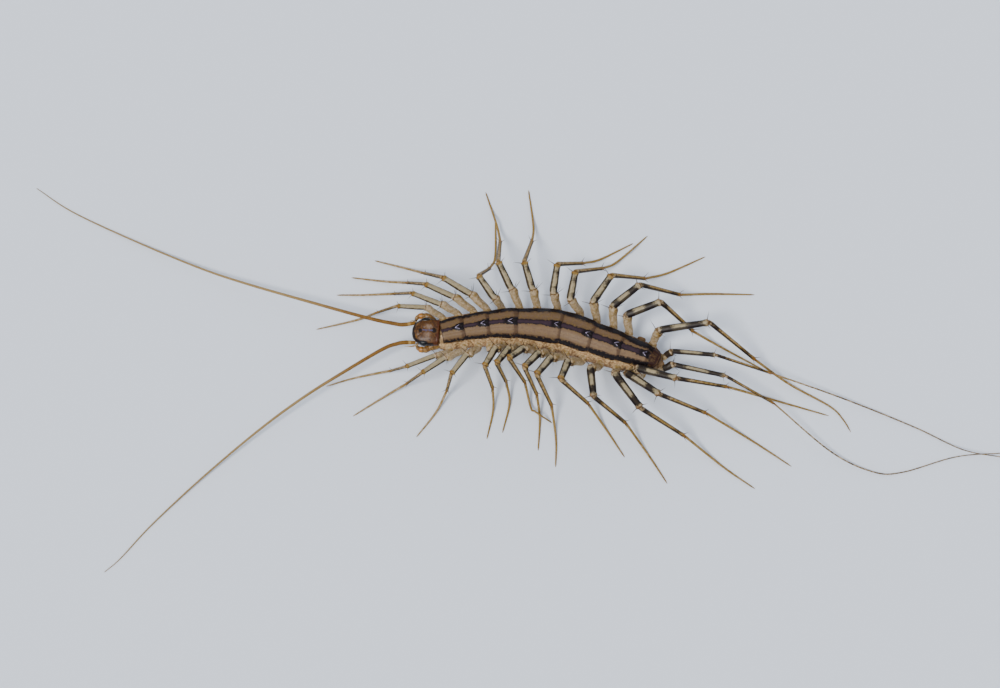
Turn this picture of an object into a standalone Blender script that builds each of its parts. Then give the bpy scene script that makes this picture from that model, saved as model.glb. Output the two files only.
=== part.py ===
"""House centipede, life size, standing on the floor with its feelers and last legs spread.

The head looks along -X, the animal's right side faces +Y and the floor is z = 0. Lengths are in
millimetres up to the point where a mesh is made. The pose comes from a photograph taken from high
on the animal's left: a joint is given as the pixel where it shows and its height above the floor.
"""

import math

import bmesh
import bpy
import numpy as np
from mathutils import Vector
from mathutils.bvhtree import BVHTree

METRES = 0.001          # one millimetre
GAP = 0.3               # left between two nodes that touch

# The photograph's view of the floor
MM_PER_PIXEL = 0.12     # makes head and trunk 30 mm long together
VIEW_ANGLE = math.radians(72)
VIEW_DISTANCE = 333.0
PHOTO_CENTRE = (500, 344)
MODEL_CENTRE = (2.8, -4.05)   # middle of the model's box, seen from the floor at the photograph's centre

# The trunk where one back plate ends and the next begins: pixel of the ridge line, height of the
# ridge, half the plate's width, height of the belly
TRUNK = [
    ((441.5, 330.8), 4.25, 1.45, 1.75),
    ((461.5, 326.4), 4.50, 1.54, 1.55),
    ((487.0, 322.6), 4.75, 1.66, 1.45),
    ((515.0, 320.9), 4.95, 1.86, 1.35),
    ((560.0, 324.6), 5.00, 2.10, 1.35),
    ((591.0, 334.6), 4.95, 1.97, 1.40),
    ((620.0, 344.8), 4.80, 1.78, 1.50),
    ((647.5, 354.5), 4.50, 1.36, 1.70),
    ((659.5, 360.2), 4.20, 1.05, 1.85),
]
PLATE_THICKNESS = 0.5
PLATE_CLEARANCE = 0.36  # upright, more than GAP because the plates slope
PLATE_ARCH = 0.42       # drop from ridge to plate edge, as a share of the half width
PLATE_RISE = 0.16       # how far each plate climbs to its rear edge
PLATE_CORNER = 0.10     # how much narrower a plate is at its ends
PLATE_CORNER_POWER = 5  # how late along the plate's side its corner begins
LAST_PLATE_CORNER = 0.40
PLATE_OVERHANG = 0.2    # from the top of the flank out to the plate's edge
FLANK_BULGE = 0.30      # the flank swells this much at the height of the legs' roots
FLANK_FOOT = 0.5        # from the belly up to the foot of the flank
SADDLE_HEIGHT = 0.14    # breathing saddle at the rear of the first seven plates
SADDLE_SPREAD = (0.4, 0.22)     # to each side in millimetres, forwards as a share of the plate
PLATE_COLUMNS = 9
LAST_PLATE = 7          # counted from 0
RINGS_PER_MM = 1.7
FEWEST_RINGS = 4
SLOPE_STEP = 0.01       # in plates, over which the trunk's direction is measured
# Outline of the trunk's section below the plates, as shares of the flank's half width: the back from
# left to right, then the belly from right to left with the share of its foot's height
BACK_OUTLINE = (-1, -0.7, -0.36, 0, 0.36, 0.7, 1)
BELLY_OUTLINE = [(1, 1), (0.9, 0.5), (0.55, 0.1), (0, 0), (-0.55, 0.1), (-0.9, 0.5), (-1, 1)]

# Legs: pixels where femur, tibia and tarsus start, then points along the tarsus to its tip
LEG_POSES = {
    ("R", 1): [(425, 307.5), (397, 306), (377, 312.5), (358, 319.7), (316.3, 329.5)],
    ("R", 2): [(440.5, 304.3), (411.5, 293), (394, 293.8), (365, 295), (336.8, 295.1)],
    ("R", 3): [(453.6, 297), (425, 284), (407, 282.8), (385, 281.5), (351.5, 277.7)],
    ("R", 4): [(470.2, 294), (442.4, 277.3), (424, 273.2), (400, 267), (374.7, 260.7)],
    ("R", 5): [(494.5, 298.5), (478.5, 275.5), (489.5, 268.5), (495.2, 257), (495.4, 219)],
    ("R", 6): [(511.3, 289), (498.3, 261.5), (500.3, 241), (496.5, 224.5), (485.7, 192.4)],
    ("R", 7): [(532.4, 289.5), (524.3, 261.5), (532.2, 240.5), (533.4, 226), (528.6, 190.5)],
    ("R", 8): [(553, 293.5), (557.5, 264), (583, 263.2), (600, 259.5), (633, 243.5)],
    ("R", 9): [(570, 300), (575.5, 271.5), (603, 268.3), (617, 262), (647.5, 236)],
    ("R", 10): [(592.5, 302.5), (611.5, 275), (645.5, 278.5), (668, 273), (705.2, 256.8)],
    ("R", 11): [(612, 306.5), (640, 284.5), (680.5, 294.8), (713, 294), (754.4, 294.7)],
    ("R", 12): [(626, 315), (661, 301.7), (693.5, 331.5), (718.6, 345.9), (768, 372.5)],
    ("R", 14): [(658.3, 330), (709.5, 322.3), (755.5, 360), (789, 384), (829.6, 406.3), (843, 419.5),
                (850.8, 432)],
    ("R", 15): [(671.5, 351), (716, 355), (772, 373.5), (839.5, 397.2), (914, 427), (962.2, 449.5),
                (1000, 456.9), (1026, 462)],
    ("L", 1): [(435.2, 355.4), (405.7, 366.6), (391, 370.7), (355.7, 377.8), (326.3, 386.3)],
    ("L", 2): [(445, 357.7), (421.8, 372.9), (406.6, 383.6), (382.5, 397.9), (353, 416.2)],
    ("L", 3): [(466.8, 354.1), (451.3, 373.8), (446.8, 390.7), (436.1, 412.1), (416.4, 437.1)],
    ("L", 5): [(495.4, 347.5), (484.6, 365.9), (492.7, 388.3), (493.1, 410.4), (486.9, 438.9)],
    ("L", 6): [(508.8, 348), (496.5, 362.9), (506.3, 382), (509.5, 403.2), (502.5, 432.7)],
    ("L", 7): [(523.5, 347.5), (508.8, 358), (525, 382.5), (531, 408), (535, 411.5), (552, 423)],
    ("L", 8): [(539.0, 352.3), (524.2, 367), (537, 395), (539.8, 419.3), (538.2, 450.5)],
    ("L", 9): [(551.2, 357), (536.5, 374.2), (551.8, 406), (556, 440), (555.6, 467.1)],
    ("L", 10): [(568, 360.5), (560.5, 379.1), (588.7, 404.1), (607.8, 431.9), (624.6, 457.2)],
    ("L", 11): [(590, 367.5), (593.5, 396.5), (626, 423.3), (650.9, 458.7), (667.2, 483.5)],
    ("L", 12): [(614.5, 373.5), (640.6, 408), (685, 436.3), (724.2, 467.7), (754.9, 488.8)],
    ("L", 13): [(626.5, 373), (659.7, 394.2), (706.5, 413.3), (752.3, 441), (791.5, 466.5)],
    ("L", 14): [(636.5, 368), (677, 378.3), (728, 387), (774.7, 400.3), (828.7, 415.8)],
    ("L", 15): [(674, 364.7), (725.6, 375.8), (774, 403.5), (831.2, 451.9), (872.7, 471.8), (902.5, 472.3),
                (955.6, 456.9), (1000, 453.3), (1018, 453)],
}

LEG_PAIRS = 15
MISSING_LEGS = [("L", 4), ("R", 13)]

# Where each pair of legs leaves the trunk, counted in back plates from the front
HIP_PLACES = [0.24, 0.98, 1.58, 2.06, 2.60, 3.09, 3.47, 3.87, 4.39, 4.97, 5.55, 6.12, 6.57, 7.02]

# Thickness of a leg of the middle pairs: radius of the coxa, and near both ends of each length
COXA_RADIUS = 0.40
PREFEMUR_RADII = (0.45, 0.54)
FEMUR_RADII = (0.42, 0.35)
TIBIA_RADII = (0.28, 0.27)
TARSUS_RADIUS = 0.25
TIP_RADIUS = 0.10
NEAR_ENDS = (0.2, 0.8)  # shares of a length at which its two radii hold
JOINT_WAIST = 0.95      # a joint's radius beside that of the thinner length it joins
PREFEMUR_LOBE = 0.16    # the far end of the prefemur swells this much to the rear
LEG_SIZES = (0.76, 1.12)     # thickness of pair 1 and pair 14 beside the middle pairs
LAST_LEG_SIZE = 0.85
COXA_REACH = 0.45       # from the flank to the first joint
HIP_CLEARANCE = GAP + 0.04   # more than GAP because the flank curves
LAST_COXA_REACH = 1.0
STUMP_SHAPE = [(0.0, 1.0), (0.35, 1.15), (0.6, 1.0), (0.72, 0.6)]   # reach, radius beside a coxa's

# Heights of a leg's joints at pairs 1, 5, 9, 14 and 15
HEIGHT_PAIRS = [1, 5, 9, 14, 15]
FEMUR_HEIGHTS = [4.1, 4.7, 4.9, 5.0, 3.5]
KNEE_HEIGHTS = [4.7, 5.6, 6.2, 6.2, 3.7]
ANKLE_HEIGHTS = [1.5, 1.9, 2.1, 2.3, 2.6]
TOUCHDOWN = 0.6         # share of the tarsus that comes down to the floor, the rest lies on it
RESTING_HEIGHT = 0.02   # below this a tarsus is laid flat
TARSUS_STEP = 1.9       # length between its rings
TARSUS_RINGS = (7, 12)  # at least as many rings, and on a tarsus with an arch

# Spurs: which length of the leg they stand on (0 prefemur, 1 femur, 2 tibia), share along it, length
# of the spur, its lean towards the foot, turn from the top of the leg to the front in degrees
SPURS = [
    (0, 0.90, 1.10, 0.80, 62),
    (0, 0.90, 0.85, 0.80, -62),
    (1, 0.90, 0.80, 0.35, 75),
    (2, 0.90, 0.65, 1.00, 50),
]
SPUR_RADIUS = 0.24
SPUR_SIDES = 5
SPUR_SAMPLES = 9        # points along a spur at which its room is measured
SPUR_CUTS = (1.0, 0.85, 0.7, 0.55)   # where a neighbour is in the way, a spur is cut to such a share

# Where a tarsus or feeler arches over a neighbour: share of its length, height, spread
ARCHES = {
    ("R", 6): (0.42, 0.65, 0.16),
    ("R", 9): (0.62, 0.60, 0.16),
    ("L", 7): (0.68, 1.30, 0.20),
    ("R", 15): (0.80, 0.85, 0.09),
}

# Head: a rounded dome with an eye set in each side, from the neck to the front of the face
HEAD_REAR = ((438.0, 333.2), 3.2)
HEAD_FRONT = ((412.8, 331.4), 3.0)
HEAD_HALF_WIDTH = 1.72
HEAD_CROWN = 0.78       # from the eyes' level up to the crown
HEAD_DEPTH = 0.58       # from the eyes' level down to the cheeks
HEAD_RINGS = (0.0, 0.07, 0.18, 0.3, 0.42, 0.54, 0.66, 0.78, 0.88, 0.95, 1.0)
HEAD_SIDES = 16
# Width, crown and depth each fall off from a middle: its share of the length, reach, roundness
HEAD_ROUNDING = [(0.46, 0.56, 3.0), (0.42, 0.62, 2.6), (0.46, 0.58, 3.0)]
HEAD_SQUARENESS = 0.85
MOUTH_DEPTH = 0.50      # the mouthparts reach this far below the cheeks
MOUTH_SPREAD = 0.42
MOUTH_SHIFT = 0.1       # the mouthparts are lowest this share of the length behind the head's middle
EYE_PLACE = (0.50, 1.40, 0.10)    # share of the head's length, out from its middle line, above its level
EYE_SIZE = (0.66, 0.34, 0.46)     # half length, half thickness, half height
EYE_TURNS = (-80, -55, -25, 0, 25, 55, 80)
EYE_SOCKET = GAP + 0.13      # room round the eye, more than GAP because the facets cut the corners

# Feelers and poison claws, each a list of pixels, with heights and radii at both ends
FEELERS = {
    "R": [(410.8, 323.6), (404, 324.6), (395.9, 323.9), (368.4, 318.1), (307.1, 301.2), (245.9, 283.6),
          (199.5, 268), (137.8, 242.5), (73.5, 212.5), (36.7, 188.4)],
    "L": [(410.8, 342.4), (404.8, 342.5), (396.8, 343.8), (382.5, 349.2), (346.8, 370.2), (304.3, 396.8),
          (258.4, 430.5), (200.2, 479.5), (151.2, 525.4), (120.6, 558.3), (104.5, 572.1)],
}
FEELER_HEIGHT = 3.1
FEELER_RADII = (0.27, 0.12)
FEELER_TOUCHDOWN = 0.85
FEELER_RINGS = 26
CLAWS = {
    "R": [(431, 318.8), (422.5, 316.6), (416.3, 319.6), (414.8, 324.3)],
    "L": [(431.5, 346.4), (424.5, 349.4), (418.5, 347.3), (416.3, 342.8)],
}
CLAW_HEIGHTS = (2.05, 1.75)
CLAW_RADII = (0.30, 0.34, 0.34, 0.27, 0.12)
CLAW_ROOT = (0.92, 2.0)      # out from the middle line, height
CLAW_CLEARANCE = GAP / 2 + 0.02      # ahead of the trunk's front edge, which is itself half a GAP back
CLAW_NECK = 0.25        # the claw's first, straight stretch
CLAW_BEND = 1.5         # its smooth curve starts this many points after the root
CLAW_RINGS = 9
TRUNK_END = 7.4         # hind face of the trunk, in plates from the front
LAST_HIPS = (0.86, 2.75)     # out from the middle line, height, on that face
TELSON_LENGTH = 0.95
TELSON_SHAPE = [(0.0, 0.26), (0.3, 0.28), (0.75, 0.25), (1.0, 0.15)]     # share of the length, radius

TUBE_SIDES = 8
FLAT = math.cos(math.pi / TUBE_SIDES)     # from a ring's centre to the middle of a side, radius 1
LOWEST_SINE = 0.01 - FLAT     # only a ring's two lowest corners have a smaller sine
SMOOTH_UP_TO = math.radians(50)     # edges bent more than this stay sharp

# Colour and roughness of each kind of node
PLATE_FINISH = ((0.30, 0.21, 0.13), 0.35)
TRUNK_FINISH = ((0.42, 0.31, 0.20), 0.55)
HEAD_FINISH = ((0.16, 0.07, 0.03), 0.35)
EYE_FINISH = ((0.01, 0.01, 0.012), 0.15)
LEG_FINISH = ((0.45, 0.36, 0.20), 0.45)
FEELER_FINISH = ((0.48, 0.25, 0.08), 0.45)
CLAW_FINISH = ((0.35, 0.14, 0.04), 0.30)


def remove_scene_objects():
    """Empty the scene of the objects that Blender starts with."""
    for thing in list(bpy.data.objects):
        bpy.data.objects.remove(thing, do_unlink=True)


def at(pixel, height):
    """The point that shows at a pixel and lies at a height above the floor."""
    across = (pixel[0] - PHOTO_CENTRE[0]) * MM_PER_PIXEL / VIEW_DISTANCE
    upward = (PHOTO_CENTRE[1] - pixel[1]) * MM_PER_PIXEL / VIEW_DISTANCE
    low, high = math.cos(VIEW_ANGLE), math.sin(VIEW_ANGLE)
    ray = Vector((across, low + upward * high, upward * low - high))
    eye = Vector((0, -VIEW_DISTANCE * low, VIEW_DISTANCE * high))
    point = eye + ray * ((height - eye.z) / ray.z)
    return point - Vector((MODEL_CENTRE[0], MODEL_CENTRE[1], 0))


def smooth(rows, place):
    """A smooth curve through rows of numbers, read at a place counted in rows from 0 (Catmull-Rom)."""
    rows = np.asarray(rows, dtype=float)
    first = min(max(int(place), 0), len(rows) - 2)
    step = place - first
    here, there = rows[first], rows[first + 1]
    before = rows[first - 1] if first > 0 else 2 * here - there
    after = rows[first + 2] if first + 2 < len(rows) else 2 * there - here
    rise = 3 * (here - there) + after - before
    bend = 2 * before - 5 * here + 4 * there - after
    return here + 0.5 * step * (there - before + step * (bend + step * rise))


def read_along(points, share):
    """The point at a share of the length of a smooth curve through points in the photograph."""
    points = np.asarray(points, dtype=float)
    lengths = np.linalg.norm(np.diff(points, axis=0), axis=1)
    ends = np.concatenate(([0.0], np.cumsum(lengths)))
    place = np.interp(share * ends[-1], ends, range(len(points)))
    return smooth(points, place)


TRUNK_ROWS = [(*at(pixel, ridge)[:2], ridge, half, belly) for pixel, ridge, half, belly in TRUNK]


def trunk_at(place):
    """Point below the ridge, way to the tail, way to the right side, ridge, half width and belly."""
    x, y, ridge, half, belly = smooth(TRUNK_ROWS, place)
    ahead = smooth(TRUNK_ROWS, place + SLOPE_STEP) - smooth(TRUNK_ROWS, place - SLOPE_STEP)
    tailward = Vector((ahead[0], ahead[1], 0)).normalized()
    rightward = Vector((-tailward.y, tailward.x, 0))
    return Vector((x, y, 0)), tailward, rightward, ridge, half, belly


def places_between(start, end):
    """Places along the trunk from one boundary to another, half a GAP short of both."""
    def margin(place):
        stretch = (trunk_at(place + SLOPE_STEP)[0] - trunk_at(place - SLOPE_STEP)[0]).length
        return GAP * SLOPE_STEP / stretch
    length = (trunk_at(end)[0] - trunk_at(start)[0]).length
    count = max(FEWEST_RINGS, round(length * RINGS_PER_MM))
    return np.linspace(start + margin(start), end - margin(end), count)


def roof(across, half, ridge):
    """Height of the back's arch at a distance out from the ridge line."""
    return ridge - PLATE_ARCH * half * (across / half) ** 2


def skin(rings):
    """Points and faces of a closed body through rings of equal count, each end closed by a strip."""
    count = len(rings[0])
    half = count // 2
    points = [corner for ring in rings for corner in ring]
    faces = []
    for row in range(len(rings) - 1):
        for corner in range(count):
            following = (corner + 1) % count
            near, far = row * count, (row + 1) * count
            faces.append((near + corner, near + following, far + following, far + corner))
    for start in (0, (len(rings) - 1) * count):
        for corner in range(half - 1):
            across = count - 1 - corner
            faces.append((start + corner, start + corner + 1, start + across - 1, start + across))
    return points, faces


def keep_largest_surface(shape):
    """Delete all but the largest connected surface of a bmesh."""
    left, surfaces = set(shape.faces), []
    while left:
        surface, front = set(), [left.pop()]
        while front:
            face = front.pop()
            surface.add(face)
            beside = {other for edge in face.edges for other in edge.link_faces} & left
            left -= beside
            front += beside
        surfaces.append(surface)
    surfaces.sort(key=len)
    scraps = [face for surface in surfaces[:-1] for face in surface]
    bmesh.ops.delete(shape, geom=scraps, context="FACES")


def finish_mesh(mesh, source):
    """Fill a mesh with a source's surface as outward triangles, smooth up to clear edges."""
    shape = bmesh.new()
    shape.from_mesh(source)
    bmesh.ops.triangulate(shape, faces=shape.faces)
    keep_largest_surface(shape)
    bmesh.ops.recalc_face_normals(shape, faces=shape.faces)
    shape.to_mesh(mesh)
    shape.free()
    mesh.shade_smooth()
    mesh.set_sharp_from_angle(angle=SMOOTH_UP_TO)


def add_node(name, rings, finish):
    """One named object from its rings, with its own material."""
    points, faces = skin(rings)
    mesh = bpy.data.meshes.new(name)
    mesh.from_pydata([tuple(point * METRES) for point in points], [], faces)
    finish_mesh(mesh, mesh)
    colour, roughness = finish
    material = bpy.data.materials.new(name)
    material.use_nodes = True
    shader = material.node_tree.nodes["Principled BSDF"]
    shader.inputs["Base Color"].default_value = (*colour, 1)
    shader.inputs["Roughness"].default_value = roughness
    mesh.materials.append(material)
    node = bpy.data.objects.new(name, mesh)
    bpy.context.collection.objects.link(node)
    return node


def tube(points, radii):
    """Rings round a path, carried along it without twist. A ring that reaches the floor lies flat on it."""
    points = [Vector(point) for point in points]
    steps = [(after - before).normalized() for before, after in zip(points, points[1:])]
    ways = [steps[0]] + [(a + b).normalized() for a, b in zip(steps, steps[1:])] + [steps[-1]]
    side = ways[-1].cross(Vector((0, 0, 1))).normalized()
    rings = []
    for point, radius, way in reversed(list(zip(points, map(float, radii), ways))):
        side = (side - way * side.dot(way)).normalized()
        up = side.cross(way)
        ring = []
        resting = point.z <= radius * FLAT + RESTING_HEIGHT
        for corner in range(TUBE_SIDES):
            angle = (corner + 0.5) * math.tau / TUBE_SIDES
            spot = point + radius * (math.cos(angle) * side + math.sin(angle) * up)
            if resting and math.sin(angle) < LOWEST_SINE:
                spot.z = 0
            ring.append(spot)
        rings.append(ring)
    return rings[::-1]


def back_plate(number):
    """Rings of one arched plate, its rear edge raised, with a breathing saddle on all but the last."""
    rings = []
    places = places_between(number, number + 1)
    for place in places:
        share = (place - places[0]) / (places[-1] - places[0])
        centre, _, rightward, ridge, half, _ = trunk_at(place)
        corner = LAST_PLATE_CORNER if number == LAST_PLATE and share > 0.5 else PLATE_CORNER
        width = half * (1 - corner * abs(2 * share - 1) ** PLATE_CORNER_POWER)
        lift = PLATE_RISE * (share - 1)
        top = []
        for across in np.linspace(-width, width, PLATE_COLUMNS):
            saddle = 0.0
            if number < LAST_PLATE:
                sideways, forwards = across / SADDLE_SPREAD[0], (1 - share) / SADDLE_SPREAD[1]
                saddle = SADDLE_HEIGHT * math.exp(-sideways ** 2 - forwards ** 2)
            top.append((across, roof(across, half, ridge) + lift, saddle))
        ring = [centre + rightward * across + Vector((0, 0, high + saddle)) for across, high, saddle in top]
        ring += [centre + rightward * across + Vector((0, 0, high - PLATE_THICKNESS))
                 for across, high, _ in reversed(top)]
        rings.append(ring)
    return rings


def flank_of(place):
    """Half width of the trunk below its plates, with the top and the foot of its upright side."""
    _, _, _, ridge, half, belly = trunk_at(place)
    flank = half - PLATE_OVERHANG
    eaves = roof(flank, half, ridge) - PLATE_RISE - PLATE_THICKNESS - PLATE_CLEARANCE
    return flank, eaves, belly + FLANK_FOOT


def trunk_rings(places):
    """Rings of the soft trunk below the plates: arched back, swelling flanks, rounded belly."""
    rings = []
    for place in places:
        centre, _, rightward, ridge, half, belly = trunk_at(place)
        flank, eaves, foot = flank_of(place)
        under = ridge - PLATE_RISE - PLATE_THICKNESS - PLATE_CLEARANCE
        widest = (flank + FLANK_BULGE, (eaves + foot) / 2)
        outline = [(flank * share, roof(flank * share, half, under)) for share in BACK_OUTLINE]
        outline += [widest]
        outline += [(flank * share, belly + (foot - belly) * rise) for share, rise in BELLY_OUTLINE]
        outline += [(-widest[0], widest[1])]
        rings.append([centre + rightward * across + Vector((0, 0, high)) for across, high in outline])
    return rings


def hind_face():
    """Middle of the trunk's hind face at floor level, the way to the tail and to the right side."""
    centre, tailward, rightward, _, _, _ = trunk_at(TRUNK_END)
    return centre + tailward * (GAP / 2), tailward, rightward


def telson_rings():
    """Rings of the short blunt tail end, between the last pair of legs and below the last plate."""
    face, tailward, _ = hind_face()
    root = face + Vector((0, 0, LAST_HIPS[1]))
    points = [root + tailward * (TELSON_LENGTH * share) for share, _ in TELSON_SHAPE]
    return tube(points, [radius for _, radius in TELSON_SHAPE])


def head_rings():
    """Rings of the head from the neck to the face, dented where the eyes sit."""
    rear, front = at(*HEAD_REAR), at(*HEAD_FRONT)
    length = (front - rear).length
    forward = (front - rear).normalized()
    rightward = forward.cross(Vector((0, 0, 1))).normalized()
    sizes = (HEAD_HALF_WIDTH, HEAD_CROWN, HEAD_DEPTH)
    rings = []
    for share in HEAD_RINGS:
        width, crown, depth = [
            size * math.sqrt(1 - abs((share - middle) / reach) ** roundness)
            for size, (middle, reach, roundness) in zip(sizes, HEAD_ROUNDING)]
        ring = []
        for corner in range(HEAD_SIDES):
            angle = (corner + 0.5) * math.tau / HEAD_SIDES
            cosine, sine = math.cos(angle), math.sin(angle)
            across = width * math.copysign(abs(cosine) ** HEAD_SQUARENESS, cosine)
            high = (crown if sine > 0 else depth) * math.copysign(abs(sine) ** HEAD_SQUARENESS, sine)
            if sine < 0:
                mouth = math.exp(-(across / MOUTH_SPREAD) ** 2)
                high -= MOUTH_DEPTH * mouth * math.sin(math.pi * min(1, share + MOUTH_SHIFT))
            along = (share - EYE_PLACE[0]) * length / (EYE_SIZE[0] + EYE_SOCKET)
            above = (high - EYE_PLACE[2]) / (EYE_SIZE[2] + EYE_SOCKET)
            reach = 1 - along ** 2 - above ** 2
            if reach > 0:
                limit = EYE_PLACE[1] - (EYE_SIZE[1] + EYE_SOCKET) * math.sqrt(reach)
                across = math.copysign(min(abs(across), limit), across)
            ring.append(rear + forward * (length * share) + rightward * across + Vector((0, 0, high)))
        rings.append(ring)
    return rings


def eye_rings(side):
    """Rings of one compound eye, a flattened egg in the side of the head."""
    rear, front = at(*HEAD_REAR), at(*HEAD_FRONT)
    forward = (front - rear).normalized()
    rightward = forward.cross(Vector((0, 0, 1))).normalized()
    sign = 1 if side == "R" else -1
    middle = rear.lerp(front, EYE_PLACE[0]) + rightward * (sign * EYE_PLACE[1]) + Vector((0, 0, EYE_PLACE[2]))
    rings = []
    for turn in EYE_TURNS:
        along = EYE_SIZE[0] * math.sin(math.radians(turn))
        size = math.cos(math.radians(turn))
        ring = []
        for corner in range(TUBE_SIDES):
            angle = (corner + 0.5) * math.tau / TUBE_SIDES
            out = rightward * (EYE_SIZE[1] * size * math.cos(angle))
            ring.append(middle + forward * along + out + Vector((0, 0, EYE_SIZE[2] * size * math.sin(angle))))
        rings.append(ring)
    return rings


def feeler_rings(side):
    """Rings of one feeler, level at the head, then sinking until its last stretch lies on the floor."""
    points, radii = [], []
    for share in np.linspace(0, 1, FEELER_RINGS):
        radius = FEELER_RADII[0] + (FEELER_RADII[1] - FEELER_RADII[0]) * share
        fall = min(1, share / FEELER_TOUCHDOWN)
        height = (FEELER_HEIGHT - radius) * (1 - 3 * fall ** 2 + 2 * fall ** 3)
        points.append(at(read_along(FEELERS[side], share), height + radius * FLAT))
        radii.append(radius)
    return tube(points, radii)


def claw_rings(side):
    """Rings of one poison claw, from below the neck round the side of the head to its front."""
    sign = 1 if side == "R" else -1
    centre, tailward, rightward, _, _, _ = trunk_at(0)
    root = centre + rightward * (sign * CLAW_ROOT[0]) - tailward * CLAW_CLEARANCE
    root.z = CLAW_ROOT[1]
    joints = [root, root - tailward * CLAW_NECK]
    heights = np.linspace(*CLAW_HEIGHTS, len(CLAWS[side]))
    joints += [at(pixel, height) for pixel, height in zip(CLAWS[side], heights)]
    places = np.linspace(CLAW_BEND, len(joints) - 1, CLAW_RINGS)
    points = joints[:2] + [Vector(smooth(joints, place)) for place in places]
    radii = np.interp(np.linspace(0, 1, len(points)), np.linspace(0, 1, len(CLAW_RADII)), CLAW_RADII)
    return tube(points, radii)


def hip_of(side, number):
    """Middle of a leg's root beside the flank, and the way out from the trunk."""
    sign = 1 if side == "R" else -1
    if number == LEG_PAIRS:
        face, tailward, rightward = hind_face()
        return face + rightward * (sign * LAST_HIPS[0]) + Vector((0, 0, LAST_HIPS[1])), tailward
    place = HIP_PLACES[number - 1]
    centre, _, rightward, _, _, _ = trunk_at(place)
    flank, eaves, foot = flank_of(place)
    hip = centre + rightward * (sign * (flank + FLANK_BULGE + HIP_CLEARANCE))
    hip.z = (eaves + foot) / 2
    return hip, rightward * sign


def leg_size(number):
    """Thickness of a pair of legs beside the middle pairs."""
    if number == LEG_PAIRS:
        return LAST_LEG_SIZE
    return float(np.interp(number, (1, 14), LEG_SIZES))


def leg_joints(side, number):
    """Hip, end of the coxa, then where femur, tibia and tarsus start."""
    hip, outward = hip_of(side, number)
    reach = LAST_COXA_REACH if number == LEG_PAIRS else COXA_REACH * leg_size(number)
    heights = [np.interp(number, HEIGHT_PAIRS, row) for row in (FEMUR_HEIGHTS, KNEE_HEIGHTS, ANKLE_HEIGHTS)]
    return [hip, hip + outward * reach] + [at(pixel, h) for pixel, h in zip(LEG_POSES[side, number], heights)]


def front_of(way):
    """The level way across a length of leg, on the side of the head."""
    front = way.cross(Vector((0, 0, 1))).normalized()
    return front if front.x < 0 else -front


def leg_rings(side, number):
    """Rings of one leg: coxa, prefemur, femur and tibia as jointed lengths, then the long tarsus."""
    size = leg_size(number)
    joints = leg_joints(side, number)
    lengths = [[min(size, 1) * radius for radius in PREFEMUR_RADII]]
    lengths += [[size * radius for radius in radii] for radii in (FEMUR_RADII, TIBIA_RADII)]
    following = [near for near, _ in lengths[1:]] + [TARSUS_RADIUS / JOINT_WAIST]
    points, radii = joints[:2], [COXA_RADIUS * min(size, 1)] * 2
    for place, (start, end) in enumerate(zip(joints[1:], joints[2:])):
        for share, radius in zip(NEAR_ENDS, lengths[place]):
            points.append(start.lerp(end, share))
            radii.append(max(TARSUS_RADIUS, radius))
        if place == 0:
            points[-1] -= front_of(end - start) * PREFEMUR_LOBE
        points.append(end)
        radii.append(max(TARSUS_RADIUS, JOINT_WAIST * min(lengths[place][1], following[place])))
    track = LEG_POSES[side, number][2:]
    length = sum((at(b, 0) - at(a, 0)).length for a, b in zip(track, track[1:]))
    count = max(TARSUS_RINGS[(side, number) in ARCHES], round(length / TARSUS_STEP))
    arch_place, arch_height, arch_spread = ARCHES.get((side, number), (0, 0, 1))
    ankle_height = joints[-1].z
    for step in range(1, count + 1):
        share = step / count
        radius = np.interp(share, (TOUCHDOWN, 1), (TARSUS_RADIUS, TIP_RADIUS))
        height = (ankle_height - radius * FLAT) * max(0, 1 - share / TOUCHDOWN) ** 2
        height += arch_height * math.exp(-((share - arch_place) / arch_spread) ** 2)
        if height < RESTING_HEIGHT or step == count:
            height = 0
        points.append(at(read_along(track, share), height + radius * FLAT))
        radii.append(radius)
    return tube(points, radii)


def spur(root, way, length):
    """One spur as a closed mesh object: a pointed cone whose flat base lies inside the leg."""
    side = way.orthogonal().normalized()
    over = way.cross(side)
    points = []
    for corner in range(SPUR_SIDES):
        angle = corner * math.tau / SPUR_SIDES
        points.append(root + SPUR_RADIUS * (math.cos(angle) * side + math.sin(angle) * over))
    points.append(root + way * length)
    faces = [(corner, (corner + 1) % SPUR_SIDES, SPUR_SIDES) for corner in range(SPUR_SIDES)]
    faces.append(tuple(range(SPUR_SIDES))[::-1])
    mesh = bpy.data.meshes.new("spur")
    mesh.from_pydata([tuple(point * METRES) for point in points], [], faces)
    return bpy.data.objects.new("spur", mesh)


def is_clear(root, way, length, neighbours):
    """True if a spur keeps a GAP from every surface of its neighbours."""
    for share in np.linspace(0, 1, SPUR_SAMPLES):
        point = (root + way * (length * share)) * METRES
        room = (GAP + SPUR_RADIUS * (1 - share)) * METRES
        if any(surface.find_nearest(point, room)[0] is not None for surface in neighbours):
            return False
    return True


def leg_spurs(side, number, neighbours):
    """The spurs of one leg, each cut short, or left out, where it would come too near a neighbour."""
    joints = leg_joints(side, number)[1:]
    size = leg_size(number)
    spurs = []
    for place, share, full_length, lean, turn in SPURS:
        start, end = joints[place], joints[place + 1]
        along = (end - start).normalized()
        front = front_of(along)
        top = front.cross(along)
        top = top if top.z > 0 else -top
        out = math.cos(math.radians(turn)) * top + math.sin(math.radians(turn)) * front
        way = (out + along * lean).normalized()
        root = start.lerp(end, share)
        for cut in SPUR_CUTS:
            length = full_length * size * cut
            if is_clear(root, way, length, neighbours):
                spurs.append(spur(root, way, length))
                break
    return spurs


def surface_of(node):
    """A node's surface for measuring distances."""
    corners = [vertex.co for vertex in node.data.vertices]
    return BVHTree.FromPolygons(corners, [face.vertices for face in node.data.polygons])


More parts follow.
